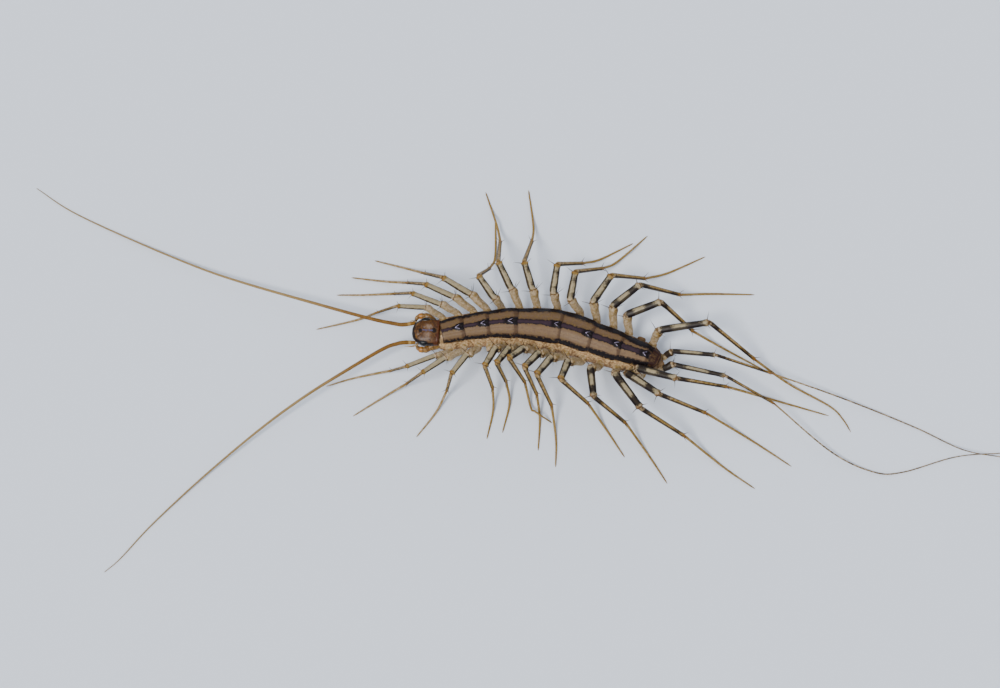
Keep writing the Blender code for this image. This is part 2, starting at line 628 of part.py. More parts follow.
def fuse(node, spurs):
    """Join spurs to a node by one union, then remove them."""
    group = bpy.data.collections.new("spurs")
    for thing in spurs:
        group.objects.link(thing)
    union = node.modifiers.new("union", "BOOLEAN")
    union.operation = "UNION"
    union.operand_type = "COLLECTION"
    union.collection = group
    union.solver = "EXACT"
    joined = bpy.data.meshes.new_from_object(node.evaluated_get(bpy.context.evaluated_depsgraph_get()))
    node.modifiers.remove(union)
    finish_mesh(node.data, joined)
    bpy.data.meshes.remove(joined)
    for thing in spurs:
        bpy.data.objects.remove(thing, do_unlink=True)
    bpy.data.collections.remove(group)


def stump_rings(side, number):
    """Rings of the short root that is left where a leg has been lost."""
    hip, outward = hip_of(side, number)
    points = [hip + outward * reach for reach, _ in STUMP_SHAPE]
    return tube(points, [COXA_RADIUS * size for _, size in STUMP_SHAPE])


remove_scene_objects()

for plate in range(LAST_PLATE + 1):
    add_node(f"back_plate_{plate + 1}", back_plate(plate), PLATE_FINISH)
add_node("trunk_fore", trunk_rings(places_between(0, 3)), TRUNK_FINISH)
add_node("trunk_middle", trunk_rings(places_between(3, 5)), TRUNK_FINISH)
add_node("trunk_hind", trunk_rings(places_between(5, TRUNK_END)), TRUNK_FINISH)
add_node("telson", telson_rings(), TRUNK_FINISH)
add_node("head", head_rings(), HEAD_FINISH)

for side in ("L", "R"):
    add_node(f"eye_{side}", eye_rings(side), EYE_FINISH)
    add_node(f"feeler_{side}", feeler_rings(side), FEELER_FINISH)
    add_node(f"poison_claw_{side}", claw_rings(side), CLAW_FINISH)
    for number in range(1, LEG_PAIRS + 1):
        if (side, number) in MISSING_LEGS:
            add_node(f"stump_{side}{number:02d}", stump_rings(side, number), LEG_FINISH)
        else:
            add_node(f"leg_{side}{number:02d}", leg_rings(side, number), LEG_FINISH)

surfaces = {node.name: surface_of(node) for node in bpy.data.objects}
for side, number in LEG_POSES:
    leg = bpy.data.objects[f"leg_{side}{number:02d}"]
    neighbours = [surface for name, surface in surfaces.items() if name != leg.name]
    fuse(leg, leg_spurs(side, number, neighbours))
    surfaces[leg.name] = surface_of(leg)
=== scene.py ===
"""House centipede, life size: the finish of every surface, set round the fixed frame of its solids.

The head looks along -X, the animal's right side faces +Y and the floor is z = 0. Lengths are in
millimetres up to the point where a mesh is made. A spot of the pose is the pixel of the photograph
where it shows and its height above the floor.
"""

import math

import bpy
import numpy as np
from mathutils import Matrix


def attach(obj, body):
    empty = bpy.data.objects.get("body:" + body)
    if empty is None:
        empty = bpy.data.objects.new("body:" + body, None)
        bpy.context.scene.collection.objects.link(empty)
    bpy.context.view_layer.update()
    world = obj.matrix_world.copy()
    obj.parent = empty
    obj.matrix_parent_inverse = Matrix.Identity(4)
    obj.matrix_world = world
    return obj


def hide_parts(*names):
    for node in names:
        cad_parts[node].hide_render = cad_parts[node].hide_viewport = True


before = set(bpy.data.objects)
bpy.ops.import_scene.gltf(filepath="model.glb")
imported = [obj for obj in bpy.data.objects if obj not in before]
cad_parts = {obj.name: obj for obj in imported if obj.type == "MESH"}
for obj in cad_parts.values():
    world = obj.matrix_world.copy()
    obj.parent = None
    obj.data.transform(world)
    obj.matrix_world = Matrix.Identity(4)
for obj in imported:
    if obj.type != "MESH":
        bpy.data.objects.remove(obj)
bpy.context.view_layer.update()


# Trunk
# The soft body between back plates and legs: a tan skin over muscle, mottled brown, folded between
# the roots of the legs and armoured below by thin belly plates. One closed skin from neck to tail.

MM = 0.001
MM_PER_PIXEL = 0.12
VIEW_ANGLE = math.radians(72)
VIEW_DISTANCE = 333.0
PHOTO_CENTRE = (500, 344)
MODEL_CENTRE = (2.8, -4.05)

# Where one back plate ends and the next begins: pixel of the ridge line, height of the ridge, half
# the plate's width, height of the belly
TRUNK = [
    ((441.5, 330.8), 4.25, 1.45, 1.75),
    ((461.5, 326.4), 4.50, 1.54, 1.55),
    ((487.0, 322.6), 4.75, 1.66, 1.45),
    ((515.0, 320.9), 4.95, 1.86, 1.35),
    ((560.0, 324.6), 5.00, 2.10, 1.35),
    ((591.0, 334.6), 4.95, 1.97, 1.40),
    ((620.0, 344.8), 4.80, 1.78, 1.50),
    ((647.5, 354.5), 4.50, 1.36, 1.70),
    ((659.5, 360.2), 4.20, 1.05, 1.85),
]
HIP_PLACES = [0.24, 0.98, 1.58, 2.06, 2.60, 3.09, 3.47, 3.87, 4.39, 4.97, 5.55, 6.12, 6.57, 7.02]
PLATE_ARCH = 0.42
PLATE_OVERHANG = 0.2
TRUNK_DROP = 0.62       # from the ridge down to the skin below the plates
EAVES_DROP = 1.02       # from the plates' arch down to the top of the flank
FLANK_FOOT = 0.5        # from the belly up to the foot of the flank
FLANK_BULGE = 0.30      # the flank swells this much at half height
SKIN_SWELL = 0.52       # the soft skin stands out this much more than its solid
COXA_BULGE = 0.14       # and this much more towards each leg
HIP_SPREAD = 0.45       # over this length to each side of it
SKIN_PLACES = (-0.22, 7.3)      # the even stretch of the skin, in plates from the front
SKIN_COUNTS = (520, 40, 120)    # rings of that stretch and of the tail, points round a ring
NECK_LENGTH = 0.3               # of the neck in plates, and the share by which it narrows
NECK_NARROWING = 0.25
TAIL_REACH = 1.05
TAIL_START = 0.1        # the tail begins to narrow this much before the even stretch ends
TAIL_BLUNTNESS = 2.2
BELLY_DEPTH = 1.05      # from the middle of the flank down to the belly
SIDE_POWER = 0.62       # a superellipse's powers at the flank, the back and the belly: lower is squarer
BACK_POWER = 0.5
BELLY_POWER = 0.8
WRINKLE = 0.016         # height, spacing and sideways sway of the wrinkles
WRINKLE_SPACING = 0.30
WRINKLE_SWAY = 1.5
ROOT_RADIUS = 0.62      # of the hard patch round each leg's root
UP = np.array((0.0, 0.0, 1.0))


def at(pixels, heights):
    """Points that show at pixels and lie at heights above the floor: the ray through each pixel, cut
    by the level plane at that height."""
    pixels = np.atleast_2d(np.asarray(pixels, dtype=float))
    across = (pixels[:, 0] - PHOTO_CENTRE[0]) * MM_PER_PIXEL / VIEW_DISTANCE
    upward = (PHOTO_CENTRE[1] - pixels[:, 1]) * MM_PER_PIXEL / VIEW_DISTANCE
    low, high = math.cos(VIEW_ANGLE), math.sin(VIEW_ANGLE)
    rays = np.stack((across, low + upward * high, upward * low - high), axis=1)
    eye = np.array((0, -VIEW_DISTANCE * low, VIEW_DISTANCE * high))
    steps = (np.broadcast_to(heights, across.shape) - eye[2]) / rays[:, 2]
    return eye + rays * steps[:, None] - np.array((*MODEL_CENTRE, 0))


def smooth(rows, places):
    """A smooth curve through rows of numbers (Catmull-Rom), read at places counted in rows from 0."""
    rows = np.asarray(rows, dtype=float)
    rows = np.vstack((2 * rows[:1] - rows[1:2], rows, 2 * rows[-1:] - rows[-2:-1]))
    places = np.asarray(places, dtype=float)
    first = np.clip(places.astype(int), 0, len(rows) - 4)
    step = (places - first)[:, None]
    before, here, there, after = (rows[first + shift] for shift in range(4))
    bend = 2 * before - 5 * here + 4 * there - after
    rise = 3 * (here - there) + after - before
    return here + 0.5 * step * (there - before + step * (bend + step * rise))


def unit(vectors):
    """Vectors divided by their own lengths."""
    return vectors / np.maximum(np.linalg.norm(vectors, axis=-1, keepdims=True), 1e-12)


def run_along(points):
    """The length of a polyline from its start to each of its points."""
    return np.concatenate(([0.0], np.cumsum(np.linalg.norm(np.diff(points, axis=0), axis=1))))


def squared(waves, power):
    """A sine or cosine with its size raised to a power and its sign kept, which squares a circle."""
    return np.sign(waves) * np.abs(waves) ** power


def hip_level(ridge, half, flank, belly):
    """Height of the legs' roots: midway from the foot of the flank to the eaves of the back's arch."""
    return (ridge - EAVES_DROP - PLATE_ARCH * flank ** 2 / half + belly + FLANK_FOOT) / 2


def trunk_at(places):
    """Per place: point below the ridge, way to the tail, way to the right, ridge, half width, belly."""
    places = np.asarray(places, dtype=float)
    rows = smooth(TRUNK_ROWS, places)
    ahead = smooth(TRUNK_ROWS, places + 0.01) - smooth(TRUNK_ROWS, places - 0.01)
    tailward = unit(np.stack((ahead[:, 0], ahead[:, 1], 0 * places), axis=1))
    rightward = np.stack((-tailward[:, 1], tailward[:, 0], 0 * places), axis=1)
    centre = np.stack((rows[:, 0], rows[:, 1], 0 * places), axis=1)
    return centre, tailward, rightward, rows[:, 2], rows[:, 3], rows[:, 4]


def colour(text):
    """An sRGB hex colour as linear red, green, blue and alpha."""
    parts = np.array([int(text[i:i + 2], 16) / 255 for i in (1, 3, 5)])
    linear = np.where(parts <= 0.04045, parts / 12.92, ((parts + 0.055) / 1.055) ** 2.4)
    return (*linear.tolist(), 1.0)


def add(tree, kind, inputs, **settings):
    """One shader node with its settings. An input is a value, a node or a node's output."""
    made = tree.nodes.new(kind)
    for key, value in settings.items():
        setattr(made, key, value)
    for key, value in inputs.items():
        if isinstance(value, bpy.types.Node):
            value = next(output for output in value.outputs if output.enabled)
        if isinstance(value, bpy.types.NodeSocket):
            tree.links.new(value, made.inputs[key])
        else:
            made.inputs[key].default_value = value
    return made


def chitin(name, ground, flecks, layers, fleck_size=0.25, pore_size=0.05, relief=0.012, rough=0.35,
           coat=0.1, glow=0.0, fray=1.0, mirror=0.2):
    """Insect shell: ground colour mottled with flecks, layers laid over it by the piece's own masks
    (mask, colour, strength, softness of its edge) with edges frayed by the same mottling, pores and
    shallow dents as relief, and a clear waxy coat. Sizes are in millimetres. Real pores are some ten
    times finer and wouldn't show."""
    material = bpy.data.materials.new(name)
    material.use_nodes = True
    tree = material.node_tree
    shader = tree.nodes["Principled BSDF"]
    place = add(tree, "ShaderNodeTexCoord", {}).outputs["Object"]
    mottle = add(tree, "ShaderNodeTexNoise", {"Vector": place, "Scale": 1 / (fleck_size * MM),
                                              "Detail": 6.0, "Roughness": 0.68})
    grain = add(tree, "ShaderNodeTexNoise", {"Vector": place, "Scale": 1 / (pore_size * MM), "Detail": 2.0})
    spread = add(tree, "ShaderNodeMapRange", {"Value": mottle, "From Min": 0.40, "From Max": 0.60},
                 interpolation_type="SMOOTHSTEP")
    tint = add(tree, "ShaderNodeMix", {0: spread, 6: colour(ground), 7: colour(flecks)}, data_type="RGBA")
    specks = add(tree, "ShaderNodeMapRange", {"Value": grain, "From Min": 0.48, "From Max": 0.70,
                                              "To Max": 0.7})
    tint = add(tree, "ShaderNodeMix", {0: specks, 6: tint.outputs[2], 7: colour(flecks)}, data_type="RGBA")
    for mask, shade, strength, softness in layers:
        amount = add(tree, "ShaderNodeAttribute", {}, attribute_name=mask).outputs["Fac"]
        ragged = add(tree, "ShaderNodeMath", {0: mottle.outputs["Fac"], 1: 0.5}, operation="SUBTRACT")
        ragged = add(tree, "ShaderNodeMath", {0: ragged, 1: fray, 2: amount}, operation="MULTIPLY_ADD")
        edge = add(tree, "ShaderNodeMapRange", {"Value": ragged, "From Min": 0.5 - softness,
                                                "From Max": 0.5 + softness, "To Max": strength},
                   interpolation_type="SMOOTHSTEP")
        tint = add(tree, "ShaderNodeMix", {0: edge, 6: tint.outputs[2], 7: colour(shade)}, data_type="RGBA")
    polish = add(tree, "ShaderNodeMapRange", {"Value": grain, "To Min": rough - 0.08, "To Max": rough + 0.12})
    dents = add(tree, "ShaderNodeBump", {"Height": mottle, "Distance": 2.5 * relief * MM, "Strength": 0.7})
    bump = add(tree, "ShaderNodeBump", {"Height": grain, "Distance": relief * MM, "Strength": 0.6,
                                        "Normal": dents})
    links = {"Base Color": tint.outputs[2], "Roughness": polish.outputs[0], "Normal": bump.outputs[0]}
    for socket, output in links.items():
        tree.links.new(output, shader.inputs[socket])
    shader.inputs["IOR"].default_value = 1.5
    shader.inputs["Specular IOR Level"].default_value = mirror
    shader.inputs["Coat Weight"].default_value = coat
    shader.inputs["Coat Roughness"].default_value = 0.25
    if glow:
        shader.inputs["Subsurface Weight"].default_value = glow
        shader.inputs["Subsurface Radius"].default_value = (1.0, 0.6, 0.3)
        shader.inputs["Subsurface Scale"].default_value = 0.25 * MM
    return material


def put(name, data):
    """A new object of the scene, at the origin."""
    made = bpy.data.objects.new(name, data)
    bpy.context.collection.objects.link(made)
    return made


def piece(name, points, faces, material, masks=None, slot=None, replaced=()):
    """One piece of the model from points in millimetres: smooth and ridden."""
    mesh = bpy.data.meshes.new(name)
    mesh.from_pydata((np.asarray(points) * MM).tolist(), [], [list(face) for face in faces])
    for mask, values in (masks or {}).items():
        layer = mesh.attributes.new(mask, "FLOAT", "POINT")
        layer.data.foreach_set("value", np.asarray(values, dtype=np.float32))
    mesh.shade_smooth()
    mesh.materials.append(material)
    made = put(name, mesh)
    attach(made, "root")
    if replaced:
        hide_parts(*replaced)
    return made


def tube_faces(rows, columns):
    """Faces of a closed tube of rings, each end closed by a fan to its own pole: the points are the
    rings one after another, then the first pole, then the last."""
    corner = np.arange(rows * columns).reshape(rows, columns)
    beside = np.roll(corner, -1, axis=1)
    sides = np.stack((corner[:-1], beside[:-1], beside[1:], corner[1:]), axis=-1).reshape(-1, 4).tolist()
    first, last = rows * columns, rows * columns + 1
    sides += [[first, b, a] for a, b in zip(corner[0].tolist(), beside[0].tolist())]
    sides += [[last, a, b] for a, b in zip(corner[-1].tolist(), beside[-1].tolist())]
    return sides


def ring_piece(name, rings, material, masks=None, **rest):
    """A closed piece from an array of rings (rows, columns, 3) and masks of the same rows and columns."""
    rows, columns, _ = rings.shape
    points = np.vstack((rings.reshape(-1, 3), rings[0].mean(axis=0), rings[-1].mean(axis=0)))
    full = {}
    for mask, values in (masks or {}).items():
        values = np.broadcast_to(values, (rows, columns))
        full[mask] = np.concatenate((values.ravel(), [values[0].mean()], [values[-1].mean()]))
    return piece(name, points, tube_faces(rows, columns), material, full, **rest)


def bell(values, width):
    """A smooth bump: 1 at 0, falling to about a third at plus and minus the width."""
    return np.exp(-(values / width) ** 2)


def soft_step(values, low, high):
    """0 below low, 1 above high and a smooth rise between."""
    share = np.clip((values - low) / (high - low), 0, 1)
    return share * share * (3 - 2 * share)


def ramp(depths, reach):
    """A marking's mask by the depth inside its edge: a half at the edge, 0 and 1 a reach to each side."""
    return np.clip(0.5 + depths / (2 * reach), 0, 1)


TRUNK_ROWS = [(*at([pixel], ridge)[0, :2], ridge, half, belly) for pixel, ridge, half, belly in TRUNK]


def trunk_skin():
    """Rings at places along the trunk. Round each, an angle runs over a rounded box: the width is the
    flank times a superellipse, swelling at half height and at each leg root, with fine upright
    wrinkles; above it follows the arch of the back."""
    even_rings, tail_rings, columns = SKIN_COUNTS
    tail = SKIN_PLACES[1] + TAIL_REACH * np.sin(np.linspace(0, math.pi / 2, tail_rings + 1)[1:])
    places = np.concatenate((np.linspace(*SKIN_PLACES, even_rings), tail))
    centre, _, rightward, ridge, half, belly = (row[:, None] for row in trunk_at(places))
    places = places[:, None]
    end = np.clip((places - SKIN_PLACES[1] + TAIL_START) / (TAIL_REACH + TAIL_START + 0.01), 0, 1)
    start = np.clip((0.05 - places) / NECK_LENGTH, 0, 1)
    taper = np.sqrt(np.clip(1 - end ** TAIL_BLUNTNESS, 0.01, 1)) * (1 - NECK_NARROWING * start)
    angles = np.linspace(0, math.tau, columns, endpoint=False)[None, :]
    cosine, sine = np.cos(angles), np.sin(angles)
    hips = np.array(HIP_PLACES)
    rates = np.linalg.norm(trunk_at(hips + 0.05)[0] - trunk_at(hips - 0.05)[0], axis=1) / 0.1
    from_hips = (places - hips[None, :]) * rates[None, :]
    near_hip = bell(from_hips, HIP_SPREAD).sum(axis=1)[:, None]
    low_side = bell(sine + 0.05, 0.5)
    run = run_along(centre[:, 0])[:, None]
    sway = WRINKLE_SWAY * np.sin(3 * angles)
    wrinkles = WRINKLE * np.sin(run * math.tau / WRINKLE_SPACING + sway) * low_side
    swell = (FLANK_BULGE + SKIN_SWELL) * bell(sine + 0.1, 0.75) + COXA_BULGE * (near_hip - 0.5) * low_side
    flank = (half - PLATE_OVERHANG) * taper
    across = (flank + (swell + wrinkles) * (1 - end)) * squared(cosine, SIDE_POWER)
    top = ridge - TRUNK_DROP - PLATE_ARCH * half * (across / half) ** 2
    middle = belly + BELLY_DEPTH - 0.1 * end
    depth = BELLY_DEPTH * taper * (0.95 + 0.05 * near_hip)
    high = middle + np.where(sine > 0, (top - middle) * np.abs(sine) ** BACK_POWER * taper,
                             -depth * np.abs(sine) ** BELLY_POWER)
    rings = centre + rightward * across[..., None] + UP * high[..., None]
    from_root = high - hip_level(ridge, half, flank, belly)
    from_root = np.hypot(np.abs(from_hips).min(axis=1)[:, None], from_root)
    side = np.abs(cosine) > 0.3
    belly_plates = np.clip(-sine - 0.45, 0, 1) * 2 * np.clip(near_hip * 1.5, 0, 1)
    # painted shade: darker in the dips between the leg roots low on the flank, and where the skin runs under
    # the last plates
    fold_shade = np.maximum((1 - near_hip) * low_side, 1.2 * soft_step(places, 7.15, 7.5))
    return rings, {"fold_shade": fold_shade, "sclerite": ramp(ROOT_RADIUS - from_root, 0.2) * side,
                   "seam": bell(from_root - ROOT_RADIUS, 0.07) * side, "sternite": belly_plates}


# Soft skin: thin, matt and slightly see-through, so the eye reads it as tan leather with dark folds, the dark
# being painted shade between the leg roots and under the last plates.
skin_material = chitin("trunk_soft_skin", "#c6a679", "#7b5e3b",
                       (("sclerite", "#bea47c", 0.5, 0.3), ("fold_shade", "#4d331d", 0.7, 0.3),
                        ("seam", "#7c4a1c", 0.35, 0.2), ("sternite", "#b7a57f", 0.8, 0.3)),
                       fleck_size=0.28, pore_size=0.07, relief=0.03, rough=0.5, coat=0.1, glow=0.15)
rings, masks = trunk_skin()
ring_piece("trunk_skin", rings, skin_material, masks, slot="trunk",
           replaced=("trunk_fore", "trunk_middle", "trunk_hind", "telson"))


# Back plates
# Eight arched shields of tanned chitin, each overlapping the next like a roof tile, with a breathing
# saddle in the rear of the first seven. Two black side stripes and a violet one run through them all.

PLATE_RIM = 0.15        # thickness of a plate in the middle, none at its edge
PLATE_WIDENING = 1.06   # the thin rim reaches further out than the solid plate
PLATE_LAPS = (0.26, 0.05)       # how far a plate's rear reaches over the next, and the last one's
PLATE_START = -0.02     # where a plate begins before its own boundary, in plates
PLATE_RISE = 0.09       # it climbs by this much to its rear, which stands this much over the arch
PLATE_LIFT = 0.05
LAST_PLATE = 7          # counted from 0
FRONT_NARROWING = 0.09  # a plate's front edge is this share narrower
REAR_CORNERS = ((0.80, 6), (0.985, 2.4))        # how far the rear corners are rounded, and the power, then
                                                # the same of the last plate
ROLLED_EDGE = 0.05      # height of the roll along the side edges, depth of the crease inside them
CREASE = 0.03
CORNER_REACH = 0.08     # the rear corners reach back this much further than the middle
SADDLE_LENGTH = 0.75
SADDLE_HALF_WIDTH = 0.30
SADDLE_HEIGHT = 0.09
NOTCH_DEPTH = 0.10      # the rear edge bows in by this much at the saddle
STRIPE_HALF = (0.11, 0.24)          # half the side stripe's width on the first and the last plates
STRIPE_SWELL = 0.3                  # it is this share wider in the middle of a plate than at its ends
RIGHT_STRIPE = 1.45                 # the right side's stripe is this much wider
STRIPE_MARGIN = 0.05                # from the stripe out to the edge
STRIPE_FRAY = 0.26                  # reach of the ragged edges of the side stripes and the middle one
MIDDLE_FRAY = 0.24
MIDDLE_FRONT_HALF = (0.21, 0.37)    # half the middle stripe's width at the front of those plates
MIDDLE_REAR_HALF = (0.48, 0.46)     # and at their saddles
SADDLE_BLOTCH = (0.48, 0.14)        # from the rear edge, in plates, where it starts and stops to widen
GLINT_PLACE = (0.98, 0.48)          # the forked painted highlight runs between these distances from the rear edge
GLINT_SLOPE = 0.50
GLINT_HALF = 0.026                  # half its width
VIOLET_INSET = 0.08                 # the violet lies this far inside the middle stripe
VIOLET_FADE = (0.9, 1.8)            # and fades between these distances from the rear edge
PALE_AND_SHEEN_LEVELS = (0.54, 0.64, 0.20)    # of the pale field on the right and the left side, the left's extra being painted sheen, and that sheen's rise to the tail
LAST_STRIPES = (0.16, 0.22)         # shares of the last plate where the middle and side stripes end
LAST_RINGS = (0.12, 0.44)           # rust brown lines along its edge: width of one, place of the other


def crowded(count):
    """Values from -1 to 1 that crowd towards both ends: a sine stopped short of its crests."""
    angles = np.linspace(-0.47, 0.47, count) * math.pi
    return np.sin(angles) / math.sin(angles[-1])


def plate_points(number, rows=120, columns=130):
    """Two height fields over one grid (share along, across) that meet at the rim. The upper one is the
    arch of the back, climbing to the rear, with raised lips round the saddle and a rolled side edge."""
    last = number == LAST_PLATE
    stretch = np.linalg.norm(trunk_at([number + 1.0])[0] - trunk_at([number + 0.0])[0])
    reach = 1 - PLATE_START + PLATE_LAPS[last] / stretch
    share = 0.5 + 0.5 * crowded(rows)[:, None]
    places = number + PLATE_START + share[:, 0] * reach
    centre = trunk_at(places)[0][:, None]
    frames = trunk_at(np.minimum(places, LAST_PLATE + 1))
    _, tailward, rightward, ridge, half, _ = (row[:, None] for row in frames)
    beyond = np.clip(2 * share - 1, 0, 1)
    front_corner = 1 - FRONT_NARROWING * (1 - share) ** 2
    cut, power = REAR_CORNERS[last]
    rear_corner = np.sqrt(1 - (cut * beyond) ** power)
    width = half * front_corner * rear_corner * PLATE_WIDENING
    sideways = crowded(columns)[None, :]
    across = width * sideways
    to_rear = stretch * reach * (1 - share)
    arch = ridge - PLATE_ARCH * half * (across / half) ** 2
    base = arch + PLATE_RISE * (share - 1) + PLATE_LIFT
    edge = np.abs(sideways)
    relief = ROLLED_EDGE * soft_step(edge, 0.86, 0.95) * soft_step(1 - edge, 0.0, 0.04)
    relief = relief - CREASE * bell(np.abs(across) - 0.45 * width, 0.12)
    shift = 0.0 * across
    if not last:
        along = (to_rear - 0.12) / SADDLE_LENGTH
        opening = 0.05 + SADDLE_HALF_WIDTH * np.clip(1 - along, 0, 1)
        lips = bell(np.abs(across) - opening, 0.07) * soft_step(1.25 - along, 0.0, 0.3)
        dome = bell(across, 0.42) * soft_step(1.3 - along, 0.0, 0.8)
        slit = bell(across, 0.05) * bell(along - 0.35, 0.45)
        saddle = SADDLE_HEIGHT * (0.55 * dome + 0.7 * lips - 0.9 * slit)
        relief = relief + saddle * soft_step(to_rear, 0.0, 0.12)
        shift = CORNER_REACH * sideways ** 2 * soft_step(share, 0.6, 1.0)
        shift = shift - NOTCH_DEPTH * bell(across, 0.24) * soft_step(share, 0.75, 1.0)
    rim = np.sqrt(1 - edge ** 6) * np.sqrt(np.clip(1 - np.abs(2 * share - 1) ** 16, 0, 1))
    lower = base - PLATE_RIM * rim
    upper = lower + (PLATE_RIM * rim + relief) * rim
    level = centre + rightward * across[..., None] + tailward * shift[..., None]
    return level + UP * upper[..., None], level + UP * lower[..., None], share, across, width, to_rear


def plate_masks(number, share, across, width, to_rear):
    """Markings by the depth inside their edges: side stripes along the rim, the middle stripe opening
    out at the saddle, violet inside it, a forked painted highlight on the saddle, brown ends and pale
    fields between the stripes, lighter on the left by painted sheen. The last plate is rust brown with darker
    rings and streaks."""
    hind = np.clip(number / 6, 0, 1)
    stripe, front_half, rear_half = (low + (high - low) * hind for low, high in
                                     (STRIPE_HALF, MIDDLE_FRONT_HALF, MIDDLE_REAR_HALF))
    from_middle = np.abs(across)
    inward = width - from_middle
    stripe = stripe * (1 + STRIPE_SWELL * (np.sin(math.pi * share) - 0.5))
    stripe = stripe * np.where(across > 0, RIGHT_STRIPE, 1)
    beside = stripe - np.abs(inward - STRIPE_MARGIN - stripe)
    sides = ramp(beside, STRIPE_FRAY)
    rust = 0.55 * bell(beside + 0.05, 0.10)
    widening = soft_step(-to_rear / to_rear[0], -SADDLE_BLOTCH[0], -SADDLE_BLOTCH[1])
    opening = front_half + (rear_half - front_half) * widening
    middle = ramp(opening - from_middle, MIDDLE_FRAY)
    # painted highlight: a forked pale line along the lips of the saddle
    fork = GLINT_HALF - np.abs(from_middle - GLINT_SLOPE * (GLINT_PLACE[0] - to_rear))
    glint = np.minimum(ramp(fork, 0.04), ramp(0.25 - np.abs(to_rear - sum(GLINT_PLACE) / 2), 0.05))
    brown = np.maximum(bell(to_rear - 0.15, 0.30), 0.8 * bell(share - 0.02, 0.05))
    # the pale field is the plates' own colour, and on the left side partly painted sheen that grows towards
    # the tail
    right_level, left_pale_and_sheen, left_sheen_rise = PALE_AND_SHEEN_LEVELS
    pale = np.where(across < 0, left_pale_and_sheen + left_sheen_rise * hind, right_level)
    pale = pale * bell(from_middle - 0.45 * width, 1.0)
    inner = ramp(opening - VIOLET_INSET - from_middle, 0.14) * (1 - 0.3 * hind)
    inner = inner * soft_step(to_rear, *VIOLET_FADE)
    if number == LAST_PLATE:
        middle = np.minimum(middle, ramp(LAST_STRIPES[0] - share, 0.08))
        sides = np.minimum(sides, ramp(LAST_STRIPES[1] - share, 0.10))
        edge = np.minimum(inward, to_rear)
        rings = np.maximum(ramp(LAST_RINGS[0] - edge, 0.08), bell(edge - LAST_RINGS[1], 0.15))
        streaks = 0.62 * bell(np.sin(across * 6 + 2 * share), 0.6) * (edge > 0.5)
        rust = np.maximum(rings, streaks) * soft_step(share, 0.08, 0.20) * 1.2
        brown = np.maximum(brown, soft_step(share, 0.10, 0.25))
        pale = 0 * share
        glint = 0 * glint
    marks = {"brown": brown, "pale": pale, "rust": rust, "black": np.maximum(sides, middle),
             "violet": inner, "glint": glint}
    return {mask: np.broadcast_to(values, across.shape) for mask, values in marks.items()}


def shell_faces(rows, columns):
    """Faces of two grids back to back on one shared rim, the upper facing up and the lower down. Their
    points are all of the upper grid's, then the lower grid's inner ones."""
    upper = np.arange(rows * columns).reshape(rows, columns)
    lower = upper.copy()
    lower[1:-1, 1:-1] = rows * columns + np.arange((rows - 2) * (columns - 2)).reshape(rows - 2, columns - 2)
    grids = [np.stack((grid[:-1, :-1], grid[1:, :-1], grid[1:, 1:], grid[:-1, 1:]), axis=-1).reshape(-1, 4)
             for grid in (upper, lower)]
    return [*grids[0].tolist(), *grids[1][:, ::-1].tolist()]


# Tanned chitin: hard, waxed and faintly pitted, so the lamp draws soft glints along the arch. The forked
# pale line on each saddle is a painted highlight, and the pale field's extra lightness on the left is painted
# sheen.
plate_material = chitin("plate_tanned_chitin", "#66502f", "#2f1f10",
                        (("pale", "#7d644c", 0.6, 0.25), ("brown", "#2c1409", 0.55, 0.4),
                         ("rust", "#230805", 0.95, 0.3), ("black", "#0a0206", 1.0, 0.10),
                         ("violet", "#3f2d38", 0.58, 0.4), ("glint", "#b3a7c4", 0.8, 0.25)),
                        fleck_size=0.34, pore_size=0.07, relief=0.030, rough=0.42, coat=0.09,
                        glow=0.03, fray=1.3, mirror=0.12)
for number in range(LAST_PLATE + 1):
    upper, lower, share, across, width, to_rear = plate_points(number)
    masks = {mask: np.concatenate((values.ravel(), values[1:-1, 1:-1].ravel()))
             for mask, values in plate_masks(number, share, across, width, to_rear).items()}
    points = np.vstack((upper.reshape(-1, 3), lower[1:-1, 1:-1].reshape(-1, 3)))
    piece(f"plate_{number + 1}", points, shell_faces(*upper.shape[:2]), plate_material, masks,
          slot="back_plate", replaced=(f"back_plate_{number + 1}",))


# Head
# A low, rounded capsule of red brown chitin with a raised front lobe between the feelers, a forked
# furrow over the crown and the mouthparts folded below. It is one hard shell.

HEAD_REAR = ((439.6, 333.2), 3.2)
HEAD_FRONT = ((412.2, 331.4), 3.0)
# Half width of the head at shares of its length from the neck
HEAD_OUTLINE = [(0.00, 1.42), (0.03, 1.56), (0.15, 1.62), (0.32, 1.66), (0.50, 1.66), (0.64, 1.60),
                (0.76, 1.42), (0.85, 1.20), (0.92, 0.98), (0.97, 0.70), (1.00, 0.34)]
HEAD_CROWN = 0.80       # its height above its level, its depth below it, and the mouth's below that
HEAD_DEPTH = 0.62
MOUTH_DEPTH = 0.50
HEAD_SQUARENESS = 0.80
HEAD_RINGS = 150
HEAD_COLUMNS = 130
# Soft spots: share of the head's length from the neck, reach along, out from the middle line, reach
LOBE = (0.86, 0.13, 0.0, 0.55)
SOCKET = (0.90, 0.07, 1.05, 0.24)
TEMPLE = (0.30, 0.16, 0.85, 0.25)
